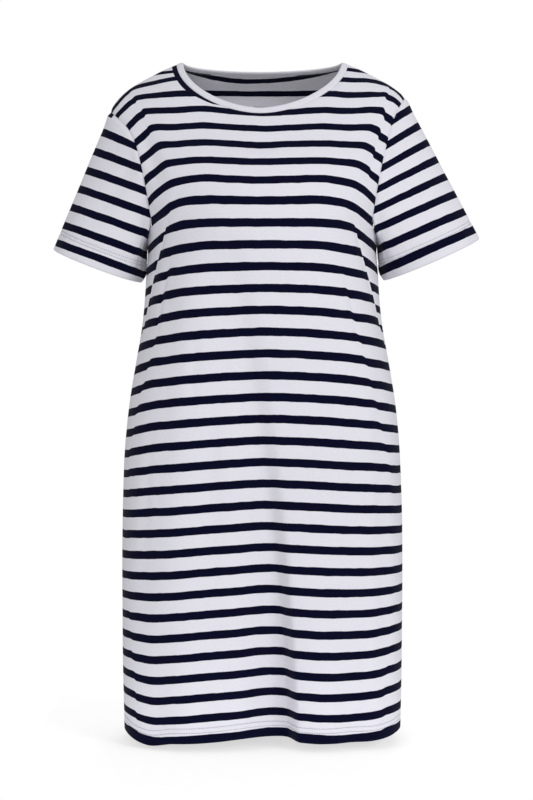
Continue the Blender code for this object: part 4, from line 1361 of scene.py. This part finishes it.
def striped_jersey():
    made, tree, shader, place = knitted("striped_jersey")
    main, side, beyond = (attribute(tree, name) for name in ("stripe", "stripe_side", "beyond"))
    past_dart = calculate(tree, "GREATER_THAN", beyond, 0.0)
    number = calculate(tree, "MULTIPLY_ADD", calculate(tree, "SUBTRACT", side, main), past_dart, main)
    for scale, amount in STRIPE_NOISES:
        number = calculate(tree, "MULTIPLY_ADD", noise(tree, place, scale), amount, number)
    phase = calculate(tree, "FRACT", calculate(tree, "ADD", number, STRIPE_SHIFT))
    gap = calculate(tree, "ABSOLUTE", calculate(tree, "SUBTRACT", phase, 0.5))
    edge = {"Value": gap, "From Min": NAVY_HALF - EDGE_BLUR, "From Max": NAVY_HALF + EDGE_BLUR,
            "To Min": 1.0, "To Max": 0.0}
    band = node(tree, "MapRange", edge, interpolation_type="SMOOTHSTEP").outputs[0]
    sliver = calculate(tree, "GREATER_THAN", attribute(tree, "sliver"), 0.0)
    # Painted light: the inner skin is painted lighter, standing in for light that passes through the
    # thin jersey
    painted_inside_light = calculate(tree, "MULTIPLY_ADD", attribute(tree, "inside"), INSIDE_PAINTED_LIGHT, 1.0)
    yarn = calculate(tree, "MULTIPLY", mottled(tree, place, WHITE_SPREAD), painted_inside_light)
    colours = {"Factor": calculate(tree, "MAXIMUM", band, sliver),
               "A": scaled_colour(tree, WHITE, yarn),
               "B": scaled_colour(tree, NAVY, mottled(tree, place, NAVY_SPREAD))}
    mix = node(tree, "Mix", colours, data_type="RGBA")
    tree.links.new(mix.outputs["Result"], shader.inputs["Base Color"])
    return made


def in_one_colour(parts, colour, *mottling):
    """Finish a new material in one colour, a little mottled."""
    made, tree, shader, place = parts
    tree.links.new(scaled_colour(tree, colour, mottled(tree, place, *mottling)),
                   shader.inputs["Base Color"])
    return made


# ---------------------------------------------------------------- stage

FLOOR_LEVEL = -0.9420
FLOOR_SIZE = 0.64
FLOOR_FINISH = {"Roughness": 0.95, "Specular IOR Level": 0.0,
                "Emission Color": (1, 1, 1, 1), "Emission Strength": 0.59}
FLOOR_MOTTLING = (3, 3, 3)
WORLD_LIGHT, WORLD_SEEN = 0.57, 1.0

# Round soft lights: name, place, target, size and power
LIGHTS = (
    ("key", (2.3, -2.6, 0.6), (0.0, 0.0, -0.45), 1.6, 40.0),
    ("fill", (-0.5, -3.0, -0.1), (0.0, 0.0, -0.35), 1.6, 24.0),
    ("rear", (0.4, 2.6, 0.6), (0.0, 0.0, -0.35), 1.8, 24.0),
)


def add_floor():
    mesh = bpy.data.meshes.new("studio_floor")
    half = FLOOR_SIZE / 2
    mesh.from_pydata([(x, y, FLOOR_LEVEL) for x, y in
                      ((-half, -half), (half, -half), (half, half), (-half, half))],
                     [], [(0, 1, 2, 3)])
    finish = new_material("studio_floor", FLOOR_FINISH)
    mesh.materials.append(in_one_colour(finish, FLOOR, FLOOR_SPREAD, FLOOR_MOTTLING))
    add_object("studio_floor", mesh)


def add_light():
    """The world lights the dress less than it shows behind it, and three lamps add to it."""
    world = bpy.data.worlds.new("studio")
    bpy.context.scene.world = world
    world.use_nodes = True
    tree = world.node_tree
    tree.nodes.clear()
    lit, seen = (node(tree, "Background", {"Color": (1.0, 1.0, 1.0, 1.0), "Strength": strength})
                 for strength in (WORLD_LIGHT, WORLD_SEEN))
    seen_share = node(tree, "LightPath", {}).outputs["Is Camera Ray"]
    mix = node(tree, "MixShader", {0: seen_share, 1: lit.outputs[0], 2: seen.outputs[0]})
    node(tree, "OutputWorld", {0: mix.outputs[0]})
    for name, place, target, size, power in LIGHTS:
        lamp = bpy.data.lights.new(name, "AREA")
        lamp.shape = "DISK"
        lamp.size = size
        lamp.energy = power
        made = add_object(name, lamp)
        made.location = place
        aim = Vector(target) - Vector(place)
        made.rotation_euler = aim.to_track_quat("-Z", "Y").to_euler()
    bpy.context.scene.view_settings.view_transform = "Standard"


# ---------------------------------------------------------------- the dress

# Width, length and area of each piece, cut flat
CUT = {
    "front": (0.590, 1.035, 0.4850),
    "back": (0.550, 1.035, 0.4800),
    "sleeve_left": (0.440, 0.265, 0.0800),
    "sleeve_right": (0.420, 0.250, 0.0750),
    "neck_binding": (0.645, 0.014, 0.0090),
}


def add_dress():
    striped = striped_jersey()
    plain = in_one_colour(knitted("plain_jersey"), WHITE, PLAIN_SPREAD)
    # The stitches carry the thread's own colour plus painted shade along the stitch lines
    thread = in_one_colour(new_material("sewing_thread_painted_shade", THREAD_FINISH), THREAD_AND_PAINTED_SHADE, THREAD_SPREAD)
    shapes = {"front": panel(True), "back": panel(False), "sleeve_left": sleeve("left"),
              "sleeve_right": sleeve("right"), "neck_binding": binding()}
    pieces, stitches = {}, {}
    for name, shape in shapes.items():
        finish = plain if name == "neck_binding" else striped
        piece = cloth(name + "_cloth", shape, finish)
        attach(piece, "root")
        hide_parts(name)
        pieces[name] = piece

    neck = slice(SHOULDER_COLUMNS, SHOULDER_COLUMNS + NECK_COLUMNS + 1)
    for name, rows in (("front", HEM_STITCHES), ("back", HEM_STITCHES),
                       ("sleeve_left", CUFF_STITCHES), ("sleeve_right", CUFF_STITCHES)):
        lines = [(*row_at(shapes[name], "above_edge", height), pitch, length)
                 for height, pitch, length in rows]
        if name == "back":
            height, pitch, length = COVER_STITCHES
            inside, facing = (part[neck] for part in row_at(shapes[name], "from_top", height))
            lines.append((inside - WALL * facing, -facing, pitch, length))
        stitches[name] = stitch_mesh(name + "_stitches", lines, thread)
        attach(stitches[name], "root")
    for name, piece in pieces.items():
        width, length, area = CUT[name]


add_camera()
add_dress()
add_floor()
add_light()
